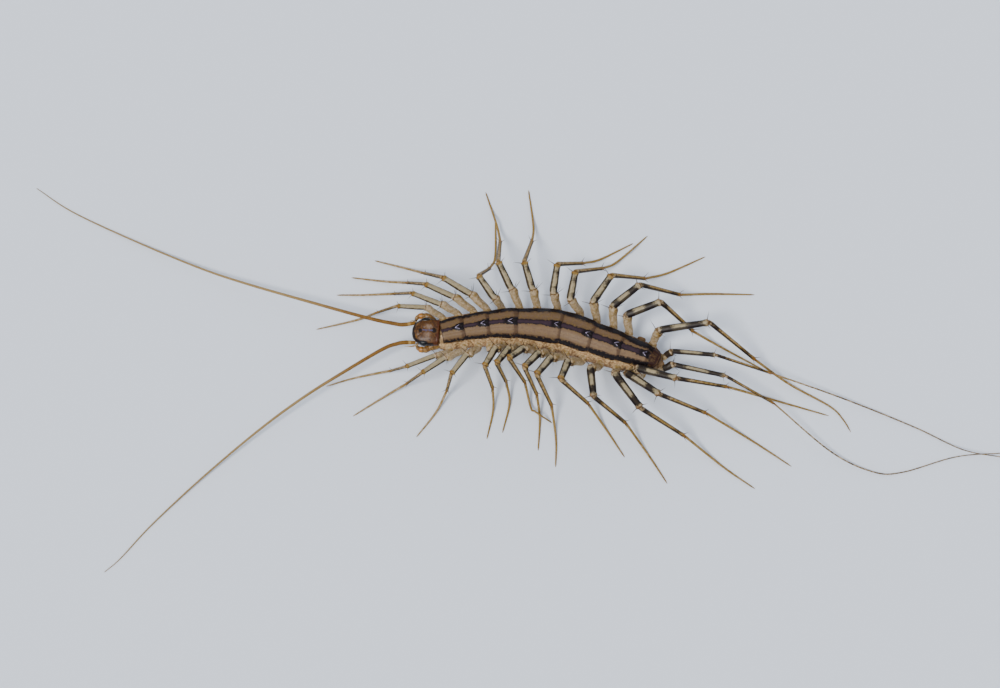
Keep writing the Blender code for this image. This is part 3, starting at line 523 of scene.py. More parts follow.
# the pale spots on the crown are a painted reflection
CROWN_REFLECTION = (0.42, 0.20, 0.50, 0.45)
AMBER_BROW = (0.86, 0.07, 0.80, 0.28)
LOBE_HEIGHT = 0.10
FURROW_DEPTH = 0.045
SOCKET_DEPTH = 0.18
TEMPLE_HEIGHT = 0.06
COLLAR_HEIGHT = 0.04
TOOTH_HEIGHT = 0.05
FACE_RIM = 0.925        # the black rim of the face starts at this share
FRONT_SPOT = (0.69, 0.24)       # share and radius of the black spots on the middle line
REAR_SPOT = (0.20, 0.34)
EYE_PLACE = (0.54, 1.38, 0.16)      # share of the head's length, out from its middle line, above its level
EYE_SIZE = (0.68, 0.38, 0.46)       # half length, half thickness, half height

head_rear, head_front = at([HEAD_REAR[0]], HEAD_REAR[1])[0], at([HEAD_FRONT[0]], HEAD_FRONT[1])[0]
head_length = float(np.linalg.norm(head_front - head_rear))
head_forward = (head_front - head_rear) / head_length
head_right = unit(np.cross(head_forward, UP))


def table_at(table, shares):
    """Values of a table of pairs (share, value), straight between its rows."""
    return np.interp(shares, *np.array(table).T)


def head_shell():
    """Rings from the neck to the face, each run backwards so that its faces look out. The width
    follows the outline, crown and cheeks are superellipses, and bumps and furrows add to the height."""
    share = (1 - np.cos(np.linspace(0, math.pi, HEAD_RINGS)))[:, None] / 2
    width = table_at(HEAD_OUTLINE, share[:, 0])
    width = np.convolve(np.pad(width, 4, mode="edge"), np.ones(9) / 9, mode="valid")[:, None]
    crown = HEAD_CROWN * np.sqrt(np.clip(1 - np.abs((share - 0.42) / 0.60) ** 3, 0.02, 1))
    depth = HEAD_DEPTH * np.sqrt(np.clip(1 - np.abs((share - 0.46) / 0.56) ** 3, 0.02, 1))
    angles = np.linspace(math.tau, 0, HEAD_COLUMNS, endpoint=False)[None, :]
    cosine, sine = np.cos(angles), np.sin(angles)
    across = width * squared(cosine, HEAD_SQUARENESS)
    high = np.where(sine > 0, crown, depth) * squared(sine, HEAD_SQUARENESS)
    out = np.abs(across)
    top, under = np.clip(sine, 0, 1), sine < 0

    def soft_spot(place, length, aside, reach):
        return bell(share - place, length) * bell(out - aside, reach)

    mouth = MOUTH_DEPTH * bell(across, 0.42) * np.sin(math.pi * np.clip(share + 0.1, 0, 1))
    teeth = TOOTH_HEIGHT * np.sin(across * 14) * bell(share - 0.9, 0.1)
    fork = bell(out - np.clip((share - 0.45) * 2.0, 0, 2), 0.07) * soft_step(share, 0.45, 0.55)
    stem = bell(across, 0.06) * soft_step(0.5 - share, 0, 0.1) * soft_step(share, 0.1, 0.2)
    collar = COLLAR_HEIGHT * bell(share - 0.05, 0.03)
    mounds = LOBE_HEIGHT * soft_spot(*LOBE) + TEMPLE_HEIGHT * soft_spot(*TEMPLE) + collar
    dents = FURROW_DEPTH * (fork + stem) + SOCKET_DEPTH * soft_spot(*SOCKET)
    high = high + top * (mounds - dents) - under * (mouth + teeth)
    ring = (head_rear + head_forward * (share * head_length)[..., None] + head_right * across[..., None]
            + UP * high[..., None])
    rim = ramp(share - FACE_RIM + 0.09 * out, 0.05)
    cheek = np.minimum(ramp(0.16 - np.abs(out - 1.30 + 2.2 * (share - 0.74)), 0.10), ramp(share - 0.66, 0.06))
    spot = ramp(FRONT_SPOT[1] - np.hypot((share - FRONT_SPOT[0]) * head_length, across + 0.05), 0.07)
    blotch = np.hypot((share - REAR_SPOT[0]) * head_length * 1.2, across - 0.05)
    blotch = ramp(REAR_SPOT[1] - blotch, 0.12)
    brow = np.minimum(ramp(out - width + 0.20, 0.08), ramp(0.30 - np.abs(share - 0.47), 0.06))
    furrow = 0.25 * np.maximum(fork, stem)
    line = np.minimum(ramp(0.09 - np.abs(across - 0.02), 0.06), ramp(0.2 - np.abs(share - 0.44), 0.05))
    back = ramp(0.13 - share - 0.06 * bell(out, 0.7), 0.05)
    corner = np.minimum(ramp(0.24 - share, 0.10), ramp(out - 1.15, 0.2))
    black = np.maximum.reduce((rim, cheek, spot, blotch, brow, furrow)) * (sine > -0.2)
    # pale: a painted reflection on the crown, and the head's own paler underside
    return ring, {"pale": 0.72 * np.maximum(soft_spot(*CROWN_REFLECTION), under), "amber": soft_spot(*AMBER_BROW),
                  "red": np.maximum(back, corner), "violet": line * (sine > 0), "black": black}


# Polished red brown chitin, darkest where it is thick: it reads as lacquer over marbled horn. The pale spots
# on its crown are a painted reflection.
head_material = chitin("head_polished_chitin", "#5d3e1b", "#32190a",
                       (("pale", "#7d6858", 0.85, 0.25), ("amber", "#7d5212", 0.7, 0.3),
                        ("red", "#451d09", 0.7, 0.3), ("black", "#100605", 0.94, 0.15),
                        ("violet", "#4d5172", 0.7, 0.2)),
                       fleck_size=0.24, pore_size=0.06, relief=0.014, rough=0.36, coat=0.12, fray=1.4,
                       mirror=0.18)
rings, masks = head_shell()
ring_piece("head_shell", rings, head_material, masks, slot="head", replaced=("head",))


# Eyes
# Two compound eyes, each a bean-shaped cap of about two hundred black lenses, set in the sides of
# the head. The lenses are domed hexagons packed like a honeycomb.

LENS_SPACING = 0.085
LENS_RADIUS = 0.58      # beside the spacing, so that neighbours meet at their corners
LENS_DOME = 0.035       # each swells the cap by this share
EYE_RINGS = 150
EYE_COLUMNS = 150
EYE_BEND = 0.10         # its ends curl round the head by this much


def eye_cap(side):
    """A flattened egg round its own axis. Each point is raised by the dome of the nearest lens, from
    the distance to the nearest centre of a hexagonal grid over length and girth."""
    half_length, half_thickness, half_height = EYE_SIZE
    turn = np.radians(np.linspace(-89, 89, EYE_RINGS))[:, None]
    angles = np.linspace(math.tau, 0, EYE_COLUMNS, endpoint=False)[None, :]
    girth = angles * (half_thickness + half_height) / 2 * np.cos(turn)
    run = turn * half_length
    row = LENS_SPACING * math.sqrt(3) / 2
    nearest = np.full(girth.shape, np.inf)
    for shift in (0, 1):
        level = (np.round((run / row - shift) / 2) * 2 + shift) * row
        column = (np.round(girth / LENS_SPACING - shift / 2) + shift / 2) * LENS_SPACING
        nearest = np.minimum(nearest, np.hypot(run - level, girth - column))
    dome = np.sqrt(np.clip(1 - (nearest / (LENS_RADIUS * LENS_SPACING)) ** 2, 0, 1))
    bulge = 1 + LENS_DOME * dome * np.sqrt(np.cos(turn))
    sign = 1 if side == "R" else -1
    share, aside, level = EYE_PLACE
    middle = head_rear + head_forward * (share * head_length) + head_right * (sign * aside) + UP * level
    along = half_length * np.sin(turn) * bulge
    out = half_thickness * np.cos(turn) * np.cos(angles) * bulge
    out = out - sign * EYE_BEND * (along / half_length) ** 2
    high = half_height * np.cos(turn) * np.sin(angles) * bulge
    return middle + head_forward * along[..., None] + head_right * out[..., None] + UP * high[..., None]


# Lens cuticle: clear and glassy over black pigment, so each eye is a dark bead with pin glints.
eye_material = chitin("eye_lens_cuticle", "#050507", "#09090d", (), fleck_size=0.3, pore_size=0.2,
                      relief=0.002, rough=0.28, coat=0.08, mirror=0.3)
for side in "LR":
    ring_piece(f"eye_lenses_{side}", eye_cap(side), eye_material, slot="eye", replaced=(f"eye_{side}",))


# Feelers
# Each is a whip of some hundreds of amber rings on a thicker foot, level at the head and sinking
# until its tip lies on the floor. Every ring is a bead of chitin with a whorl of short hairs. Like the
# claws, palps and legs it is a tube along the spots of its solid, rooted in what it grows from.

# Pixels of its middle line from the root to the tip
FEELERS = {
    "R": [(414.8, 323.0), (404, 324.6), (395.9, 323.9), (368.4, 318.1), (307.1, 301.2), (245.9, 283.6),
          (199.5, 268), (137.8, 242.5), (73.5, 212.5), (36.7, 188.4)],
    "L": [(415.5, 342.6), (404.8, 342.5), (396.8, 343.8), (382.5, 349.2), (346.8, 370.2), (304.3, 396.8),
          (258.4, 430.5), (200.2, 479.5), (151.2, 525.4), (120.6, 558.3), (104.5, 572.1)],
}
FEELER_HEIGHT = 3.1
FEELER_TOUCHDOWN = 0.85         # share of the length where the whip meets the floor
FEELER_RADII = [(0.0, 0.20), (0.012, 0.24), (0.03, 0.23), (0.3, 0.165), (0.6, 0.115), (0.9, 0.07),
                (1.0, 0.035)]
FEELER_RINGS = 330
RING_STEPS = 5                  # of the mesh along one ring
FEELER_COLUMNS = 14
BEAD_SWELL = 0.10
PALE_JOINT = (0.014, 0.004)     # share of the length where the foot meets the whip, and its reach
STRAW_RISE = (0.02, 0.45)       # from amber to straw between these shares
FEELER_HAIRS = 6                # round each ring
FEELER_HAIR_LENGTH = 0.11
FEELER_HAIR_RADIUS = 0.008
STRIPS = 32                     # of the limbs' unwrap, one for each limb
PATCH = 0.003                   # width of one spike's patch on it
SPIKE_BEND = 0.05               # a spike's tip sinks by this share of its length


def read_along(points, shares):
    """Points at shares of the length of a smooth curve through points in the photograph."""
    points = np.asarray(points, dtype=float)
    ends = run_along(points)
    return smooth(points, np.interp(np.asarray(shares) * ends[-1], ends, range(len(points))))


def resample(points, spacing, rounding, tags=None):
    """A polyline read at even spacing and softened at its corners by a Gaussian, ends kept."""
    ends = run_along(points)
    count = int(ends[-1] / spacing) + 2
    run = np.linspace(0, ends[-1], count)
    path = np.stack([np.interp(run, ends, points[:, axis]) for axis in range(3)], axis=1)
    reach = max(1, int(3 * rounding / spacing))
    weights = np.exp(-(np.arange(-reach, reach + 1) * spacing / rounding) ** 2 / 2)
    weights /= weights.sum()
    padded = np.vstack((2 * path[:1] - path[reach:0:-1], path, 2 * path[-1:] - path[-2:-reach - 2:-1]))
    path = np.stack([np.convolve(padded[:, axis], weights, mode="valid") for axis in range(3)], axis=1)
    tags = None if tags is None else np.interp(run, ends, tags)
    return path, run, tags


def tube_rings(path, radii, columns, keels=0, keel_depth=0.0, flat=1.0):
    """Rings round a path that is nowhere upright: the side is level, and the radius waves with keels
    round the ring and is pressed flat upwards. Also the frames (ahead, side, up) and the angles."""
    ahead = unit(np.gradient(path, axis=0))
    sides = unit(np.cross(UP, ahead))
    ups = np.cross(ahead, sides)
    angles = np.linspace(0, math.tau, columns, endpoint=False)[None, :]
    radius = np.asarray(radii)[:, None] * (1 + keel_depth * np.cos(keels * angles))
    rings = (path[:, None, :] + (radius * np.cos(angles))[..., None] * sides[:, None, :]
             + (radius * flat * np.sin(angles))[..., None] * ups[:, None, :])
    return rings, (ahead, sides, ups), angles


def spikes(roots, ways, lengths, radii, sides, levels, bend):
    """Thin cones as one array of points and faces: rings that shrink from each root to a pointed tip,
    bent downwards by the square of the way along."""
    count = len(roots)
    ways = unit(ways)
    helper = np.where(np.abs(ways[:, 2:3]) > 0.9, (1.0, 0.0, 0.0), (0.0, 0.0, 1.0))
    first = unit(np.cross(ways, helper))
    second = np.cross(ways, first)
    angles = np.arange(sides) * math.tau / sides
    rings = []
    for level in range(levels):
        share = level / levels
        ring = (np.cos(angles)[None, :, None] * first[:, None, :]
                + np.sin(angles)[None, :, None] * second[:, None, :])
        middle = roots + ways * (lengths * share)[:, None] - UP * (bend * lengths * share ** 2)[:, None]
        rings.append(middle[:, None, :] + ring * (radii * (1 - share))[:, None, None])
    tips = roots + ways * lengths[:, None] - UP * (bend * lengths)[:, None]
    block = sides * levels + 1
    points = np.concatenate([*rings, tips[:, None, :]], axis=1).reshape(-1, 3)
    faces = []
    for level in range(levels - 1):
        for corner in range(sides):
            near, far = level * sides, (level + 1) * sides
            beside = (corner + 1) % sides
            faces.append((near + corner, near + beside, far + beside, far + corner))
    top = (levels - 1) * sides
    faces += [(top + corner, top + (corner + 1) % sides, block - 1) for corner in range(sides)]
    faces.append(tuple(range(sides))[::-1])
    offsets = np.arange(count) * block
    every = [(np.array(face)[None, :] + offsets[:, None]).tolist() for face in faces]
    return points, [face for group in every for face in group]


def grow(coat, roots, ways, lengths, radii, strip, runs, turns, sides=3, levels=1, bend=SPIKE_BEND):
    """Adds spikes to a coat. A spike's home on the unwrap lies on its limb's own strip of the map, at
    the share of the limb's length along it and at the share of its girth across it."""
    lengths, radii, runs, turns = (np.broadcast_to(values, len(roots))
                                   for values in (lengths, radii, runs, turns))
    points, faces = spikes(roots, ways, lengths, radii, sides, levels, bend)
    shift = sum(len(part) for part in coat["points"])
    coat["points"].append(points)
    coat["faces"] += [[corner + shift for corner in face] for face in faces]
    across = (strip + 0.1 + 0.8 * (turns / math.tau % 1)) / STRIPS
    coat["homes"].append(np.stack((0.01 + 0.97 * runs, across), axis=1))


def coat_piece(name, coat, material, slot):
    """A coat of spikes as one piece with the map OFBake, where each spike is a patch at its home."""
    points, homes = np.vstack(coat["points"]), np.vstack(coat["homes"])
    made = piece(name, points, coat["faces"], material, slot=slot)
    block = len(points) // len(homes)
    owner = np.arange(len(points)) // block
    inner = np.arange(len(points)) % block / block
    spots = homes[owner] + PATCH * np.stack((inner, inner * inner), axis=1)
    layer = made.data.uv_layers.new(name="OFBake")
    corners = np.empty(len(made.data.loops), dtype=np.int32)
    made.data.loops.foreach_get("vertex_index", corners)
    layer.data.foreach_set("uv", spots[corners].astype(np.float32).ravel())


# Ringed chitin: thin and half clear, so it reads as an amber thread of beads that pales to straw.
feeler_material = chitin("feeler_ringed_chitin", "#6c4a19", "#7f5a22",
                         (("straw", "#9d8659", 0.8, 0.45), ("seam", "#4d320d", 0.5, 0.4),
                          ("pale", "#a88a50", 0.7, 0.3)), fleck_size=0.5, pore_size=0.04, relief=0.006,
                         rough=0.42, coat=0.05, glow=0.15, fray=0.2, mirror=0.12)
# Bristle: solid dark chitin, too thin to catch the light, so hairs and spurs read as a dark fringe.
hair_material = chitin("hair_dark_chitin", "#1d130b", "#3a2814", (), fleck_size=0.4, pore_size=0.05,
                       relief=0.002, rough=0.4, coat=0.1)
fine_hairs, spurs = ({"points": [], "faces": [], "homes": []} for _ in range(2))
for strip, side in enumerate("LR"):
    share = np.linspace(0, 1, FEELER_RINGS * RING_STEPS)
    phase = share * FEELER_RINGS % 1
    radii = table_at(FEELER_RADII, share)
    fall = np.clip(share / FEELER_TOUCHDOWN, 0, 1)
    heights = (FEELER_HEIGHT - radii) * (1 - 3 * fall ** 2 + 2 * fall ** 3) + radii * 1.1
    path = at(read_along(FEELERS[side], share), heights)
    radii = radii * (1 + BEAD_SWELL * np.sin(math.pi * phase) ** 1.5 * (share > 0.02))
    rings, (ahead, sides, ups), _ = tube_rings(path, radii, FEELER_COLUMNS)
    masks = {"seam": np.maximum(bell(phase, 0.2), bell(phase - 1, 0.2))[:, None],
             "pale": bell(share - PALE_JOINT[0], PALE_JOINT[1])[:, None],
             "straw": soft_step(share, *STRAW_RISE)[:, None]}
    ring_piece(f"feeler_whip_{side}", rings, feeler_material, masks, slot="feeler",
               replaced=(f"feeler_{side}",))
    whorls = np.arange(12, len(path) - 3, RING_STEPS)
    rows = np.repeat(whorls, FEELER_HAIRS)
    turns = np.tile(np.arange(FEELER_HAIRS) * math.tau / FEELER_HAIRS, len(whorls)) + rows * 0.7
    out = np.cos(turns)[:, None] * sides[rows] + np.sin(turns)[:, None] * ups[rows]
    roots = path[rows] + out * (radii[rows] * 0.9)[:, None]
    clear = roots[:, 2] + 0.05 * out[:, 2] > 0.02
    grow(fine_hairs, roots[clear], (out * 0.6 + ahead[rows])[clear], FEELER_HAIR_LENGTH,
         FEELER_HAIR_RADIUS, strip, share[rows][clear], turns[clear])


# Poison claws
# The first pair of limbs, turned into fangs: stout amber joints that curve round the cheeks from
# below the neck, each ending in a dark, hollow, pointed claw in front of the mouth.

# Pixels of the joints from the first to the tip
CLAWS = {
    "R": [(431, 318.3), (423.5, 316.0), (417.2, 317.6), (414.8, 324.3)],
    "L": [(431.5, 346.9), (424.5, 349.7), (418.3, 348.2), (416.0, 342.8)],
}
CLAW_HEIGHTS = (2.10, 1.80)
CLAW_ROOT = (0.92, 2.0)         # out from the middle line, height
CLAW_NECK = 0.6                 # its first, straight stretch
CLAW_SUNK = 0.35                # how far the root lies behind the neck's front
CLAW_JOINT = 0.51               # places along it: the seam, the amber joint and the collar of the fang
CLAW_AMBER = 0.735
CLAW_COLLAR = 0.77
# Radius at shares of the length: the joints narrow and swell again
CLAW_RADII = [(0.0, 0.32), (0.12, 0.42), (0.40, 0.46), (0.50, 0.38), (0.53, 0.40), (0.60, 0.42), (0.66, 0.34),
              (0.69, 0.38), (0.76, 0.36), (0.79, 0.27), (0.82, 0.28), (0.9, 0.17), (1.0, 0.025)]

# Claw chitin: thick, polished and darker to the tip, so it reads as amber going to black.
claw_material = chitin("claw_amber_chitin", "#8f6c34", "#62431a",
                       (("amber", "#a4671a", 0.8, 0.5), ("dark", "#1f0c04", 0.9, 0.3)),
                       fleck_size=0.3, pore_size=0.05, relief=0.010, rough=0.36, coat=0.15, glow=0.15,
                       fray=0.4, mirror=0.3)
for side in "LR":
    sign = 1 if side == "R" else -1
    centre, tailward, rightward, _, _, _ = (row[0] for row in trunk_at([0.0]))
    root = centre + rightward * (sign * CLAW_ROOT[0]) + UP * CLAW_ROOT[1] + tailward * CLAW_SUNK
    joints = np.vstack((root, root - tailward * CLAW_NECK, at(CLAWS[side], np.linspace(*CLAW_HEIGHTS, 4))))
    joints = smooth(joints, np.linspace(0, len(joints) - 1, 60))
    path, run, _ = resample(joints, 0.025, 0.06)
    share = run / run[-1]
    rings, _, _ = tube_rings(path, table_at(CLAW_RADII, share), 28, 3, 0.03)
    share = share[:, None]
    amber = np.maximum(bell(share - CLAW_AMBER, 0.05), 0.5 * bell(share - CLAW_JOINT, 0.02))
    dark = np.maximum.reduce((soft_step(share, 0.82, 0.95), 0.55 * bell(share - CLAW_COLLAR, 0.012),
                              0.7 * bell(share - CLAW_JOINT, 0.012)))
    ring_piece(f"poison_claw_shell_{side}", rings, claw_material, {"amber": amber, "dark": dark},
               slot="poison_claw", replaced=(f"poison_claw_{side}",))


# Palps
# A pair of thin pale feeling limbs rooted beside the mouth, jointed twice, which show below the
# feelers. They are the softest chitin on the head.

PALPS = {
    "R": [(424.5, 327.0), (414, 321.0), (409.5, 322.0)],
    "L": [(424.5, 339.0), (414.5, 345.8), (404.8, 346.2)],
}
PALP_HEIGHTS = (2.75, 2.2, 1.9)
PALP_JOINTS = (0.34, 0.67)
PALP_RADII = [(0.0, 0.14), (0.30, 0.12), (0.34, 0.09), (0.38, 0.11), (0.64, 0.10), (0.67, 0.07), (0.7, 0.085),
              (1.0, 0.02)]

# Palp cuticle: thin and half clear, so it reads as pale straw with a brown ring at each joint.
palp_material = chitin("palp_pale_chitin", "#a98f66", "#8b6f47", (("dark", "#5b3c20", 0.7, 0.3),),
                       fleck_size=0.2, pore_size=0.04, relief=0.006, rough=0.42, coat=0.1, glow=0.2)
for side in "LR":
    joints = smooth(at(PALPS[side], PALP_HEIGHTS), np.linspace(0, 2, 40))
    path, run, _ = resample(joints, 0.02, 0.04)
    share = run / run[-1]
    rings, _, _ = tube_rings(path, table_at(PALP_RADII, share), 14)
    dark = sum(bell(share - joint, 0.02) for joint in PALP_JOINTS)[:, None]
    ring_piece(f"palp_{side}", rings, palp_material, {"dark": dark}, slot="poison_claw")


# Legs
# Twenty-eight walking legs of keeled chitin tubes: coxa, prefemur, femur and tibia, joined by amber
# knees with thorns, and a long whip of rings that lies on the floor. Two have broken off at the coxa.

# Pixels of each leg's joints (start of the femur, knee, ankle), then of its whip to the tip
LEG_POSES = {
    ("R", 1): [(425, 307.5), (397, 306), (377, 312.5), (358, 319.7), (316.3, 329.5)],
    ("R", 2): [(440.5, 304.3), (411.5, 293), (394, 293.8), (365, 295), (336.8, 295.1)],
    ("R", 3): [(453.6, 297), (425, 284), (407, 282.8), (385, 281.5), (351.5, 277.7)],
    ("R", 4): [(470.2, 294), (442.4, 277.3), (424, 273.2), (400, 267), (374.7, 260.7)],
    ("R", 5): [(494.5, 298.5), (478.5, 275.5), (489.5, 268.5), (495.2, 257), (495.4, 219)],
    ("R", 6): [(511.3, 289), (498.3, 261.5), (500.3, 241), (496.5, 224.5), (485.7, 192.4)],
    ("R", 7): [(532.4, 289.5), (524.3, 261.5), (532.2, 240.5), (533.4, 226), (528.6, 190.5)],
    ("R", 8): [(553, 293.5), (557.5, 264), (583, 263.2), (600, 259.5), (633, 243.5)],
    ("R", 9): [(570, 300), (575.5, 271.5), (603, 268.3), (617, 262), (647.5, 236)],
    ("R", 10): [(592.5, 302.5), (611.5, 275), (645.5, 278.5), (668, 273), (705.2, 256.8)],
    ("R", 11): [(612, 306.5), (640, 284.5), (680.5, 294.8), (713, 294), (754.4, 294.7)],
    ("R", 12): [(626, 315), (661, 301.7), (693.5, 331.5), (718.6, 345.9), (768, 372.5)],
    ("R", 14): [(658.3, 330), (709.5, 322.3), (755.5, 360), (789, 384), (829.6, 406.3), (843, 419.5),
                (850.8, 432)],
    ("R", 15): [(671.5, 351), (716, 355), (772, 373.5), (839.5, 397.2), (914, 427), (962.2, 449.5),
                (1000, 456.9), (1026, 462)],
    ("L", 1): [(435.2, 355.4), (405.7, 366.6), (391, 370.7), (355.7, 377.8), (326.3, 386.3)],
    ("L", 2): [(445, 357.7), (421.8, 372.9), (406.6, 383.6), (382.5, 397.9), (353, 416.2)],
    ("L", 3): [(466.8, 354.1), (451.3, 373.8), (446.8, 390.7), (436.1, 412.1), (416.4, 437.1)],
    ("L", 5): [(495.4, 347.5), (484.6, 365.9), (492.7, 388.3), (493.1, 410.4), (486.9, 438.9)],
    ("L", 6): [(508.8, 348), (496.5, 362.9), (506.3, 382), (509.5, 403.2), (502.5, 432.7)],
    ("L", 7): [(523.5, 347.5), (508.8, 358), (525, 382.5), (531, 408), (535, 411.5), (552, 423)],
    ("L", 8): [(539.0, 352.3), (524.2, 367), (537, 395), (539.8, 419.3), (538.2, 450.5)],
    ("L", 9): [(551.2, 357), (536.5, 374.2), (551.8, 406), (556, 440), (555.6, 467.1)],
    ("L", 10): [(568, 360.5), (560.5, 379.1), (588.7, 404.1), (607.8, 431.9), (624.6, 457.2)],
    ("L", 11): [(590, 367.5), (593.5, 396.5), (626, 423.3), (650.9, 458.7), (667.2, 483.5)],
    ("L", 12): [(614.5, 373.5), (640.6, 408), (685, 436.3), (724.2, 467.7), (754.9, 488.8)],
    ("L", 13): [(626.5, 373), (659.7, 394.2), (706.5, 413.3), (752.3, 441), (791.5, 466.5)],
    ("L", 14): [(636.5, 368), (677, 378.3), (728, 387), (774.7, 400.3), (828.7, 415.8)],
    ("L", 15): [(674, 364.7), (725.6, 375.8), (774, 403.5), (831.2, 451.9), (872.7, 471.8), (902.5, 472.3),
                (955.6, 456.9), (1000, 453.3), (1018, 453)],
}
# Heights of those joints at some of the pairs, straight between them
HEIGHT_PAIRS = [1, 5, 9, 14, 15]
FEMUR_HEIGHTS = [4.1, 4.7, 4.9, 5.0, 3.5]
KNEE_HEIGHTS = [4.7, 5.6, 6.2, 6.2, 3.7]
ANKLE_HEIGHTS = [1.5, 1.9, 2.1, 2.3, 2.6]
TOUCHDOWN = 0.6         # share of the whip where it meets the floor
# Where a whip arches up again: share of its length, height, spread
ARCHES = {("R", 6): (0.42, 0.65, 0.16), ("R", 9): (0.62, 0.60, 0.16), ("L", 7): (0.68, 1.30, 0.20),
          ("R", 15): (0.80, 0.85, 0.09)}
TRUNK_END = 7.4
LAST_HIPS = (0.86, 2.75)        # the last pair's roots: out from the middle line, height
LAST_COXA_REACH = 1.0
HIP_CLEARANCE = 0.34
COXA_REACH = 0.45
ROOT_SIZES = (0.76, 1.12)       # reach of the coxae of pair 1 and pair 14 beside that
COXA_SUNK = 0.65                # the coxa's root inside the flank
STUMP_REACHES = {"L": 0.80, "R": 0.38}
PREFEMUR_LOBE = 0.14            # the prefemur swells this much to the rear, at this place and reach
LOBE_PLACE = (1.82, 0.16)
PRESS = 0.88                    # height of a leg's section beside its width
LEG_KEELS = 5
KEEL_DEPTH = 0.05
LEG_STEP = 0.045                # length between rings of the mesh
KNEE_ROUNDING = 0.085

# Radius of a middle leg along it. The place counts lengths: 0 coxa, 1 prefemur, 2 femur, 3 tibia,
# 4 tarsus, 5 tip
LEG_RADII = [(0.0, 0.56), (0.5, 0.56), (0.85, 0.52), (1.0, 0.42), (1.08, 0.46), (1.5, 0.50), (1.8, 0.56),
             (1.93, 0.54), (1.985, 0.42), (2.02, 0.40), (2.06, 0.44), (2.2, 0.455), (2.6, 0.42),
             (2.87, 0.385), (2.925, 0.44), (2.965, 0.44), (2.985, 0.30), (3.01, 0.27), (3.03, 0.29),
             (3.2, 0.265), (3.6, 0.235), (3.9, 0.22), (3.965, 0.245), (3.99, 0.17), (4.0, 0.155),
             (4.01, 0.165), (4.3, 0.145), (4.7, 0.115), (4.95, 0.08), (5.0, 0.03)]
# Thickness beside a middle leg's, at some of the pairs
SIZE_PAIRS = [1, 3, 5, 12, 14, 15]
LEG_SIZES = [0.70, 0.84, 0.98, 1.08, 1.00, 0.68]
PREFEMUR_SIZES = [0.80, 0.92, 0.98, 1.00, 1.00, 0.80]
LAST_TARSUS = 0.62              # the last pair's whip beside the others'
WHIP_START = (4.02, 4.06)
TARSUS_RING = 0.26              # length of one ring of the tarsus, and its swell
TARSUS_SWELL = 0.07
TARSUS_STEPS = 60
LEG_COLUMNS = 24
FEMUR_SPAN = (2.04, 2.92)       # the clear stretches of femur and tibia between their joints
TIBIA_SPAN = (3.04, 3.93)
HIND = 11                       # from this pair on, the legs are the dark hind ones

# The femur's two dark patches by pair: reach forwards from the rear edge in radii, place of the
# middles along the femur, half length of the far one
PATCH_PAIRS = [4, 5, 7, 9, 10, 11, 12, 13, 14, 15]
PATCH_REACH = [0.2, 0.8, 1.1, 1.2, 1.4, 2.2, 4.0, 6.0, 6.0, 6.0]
LOW_PATCH = [0.20, 0.20, 0.20, 0.20, 0.20, 0.165, 0.13, 0.11, 0.15, 0.12]
HIGH_PATCH = [0.73, 0.73, 0.73, 0.74, 0.74, 0.74, 0.68, 0.71, 0.68, 0.80]
HIGH_PATCH_HALF = [0.13, 0.14, 0.15, 0.15, 0.15, 0.14, 0.14, 0.12, 0.16, 0.15]
LOW_PATCH_HALF = 0.12
PATCH_SHIFTS = {("L", 12): 0.14, ("R", 14): 0.03, ("L", 11): 0.05}      # of both patches, by leg

# Spurs at the far end of a length (2 prefemur, 3 femur, 4 tibia): turn from the leg's top to the side
# of the head in degrees, length, lean to the foot
SPURS = [(2, 66, 1.75, 0.7), (2, 20, 0.6, 0.6), (2, -66, 1.45, 0.8), (2, -100, 0.9, 0.8),
         (3, 80, 1.15, 0.35), (3, -78, 0.7, 0.5), (4, 55, 0.8, 1.0), (4, -75, 0.6, 1.0)]
SPUR_RADIUS = 0.050
SPUR_SIDES = 6
SPUR_LEVELS = 4
HAIRS_PER_MM = 34
HAIRY_SPAN = (1.1, 4.97)        # hairs grow between these places
HAIR_LENGTHS = (0.09, 0.22)
HAIR_RADIUS = 0.009
HIGHEST = 6.6                   # no hair reaches higher


def hip_at(side, number):
    """Middle of a leg's root beside the flank, the way out, and the reach of its coxa."""
    sign = 1 if side == "R" else -1
    place = TRUNK_END if number == 15 else HIP_PLACES[number - 1]
    centre, tailward, rightward, ridge, half, belly = (row[0] for row in trunk_at([place]))
    if number == 15:
        return centre + rightward * (sign * LAST_HIPS[0]) + UP * LAST_HIPS[1], tailward, LAST_COXA_REACH
    flank = half - PLATE_OVERHANG
    out = sign * (flank + FLANK_BULGE + HIP_CLEARANCE)
    reach = COXA_REACH * np.interp(number, (1, 14), ROOT_SIZES)
    return centre + rightward * out + UP * hip_level(ridge, half, flank, belly), rightward * sign, reach


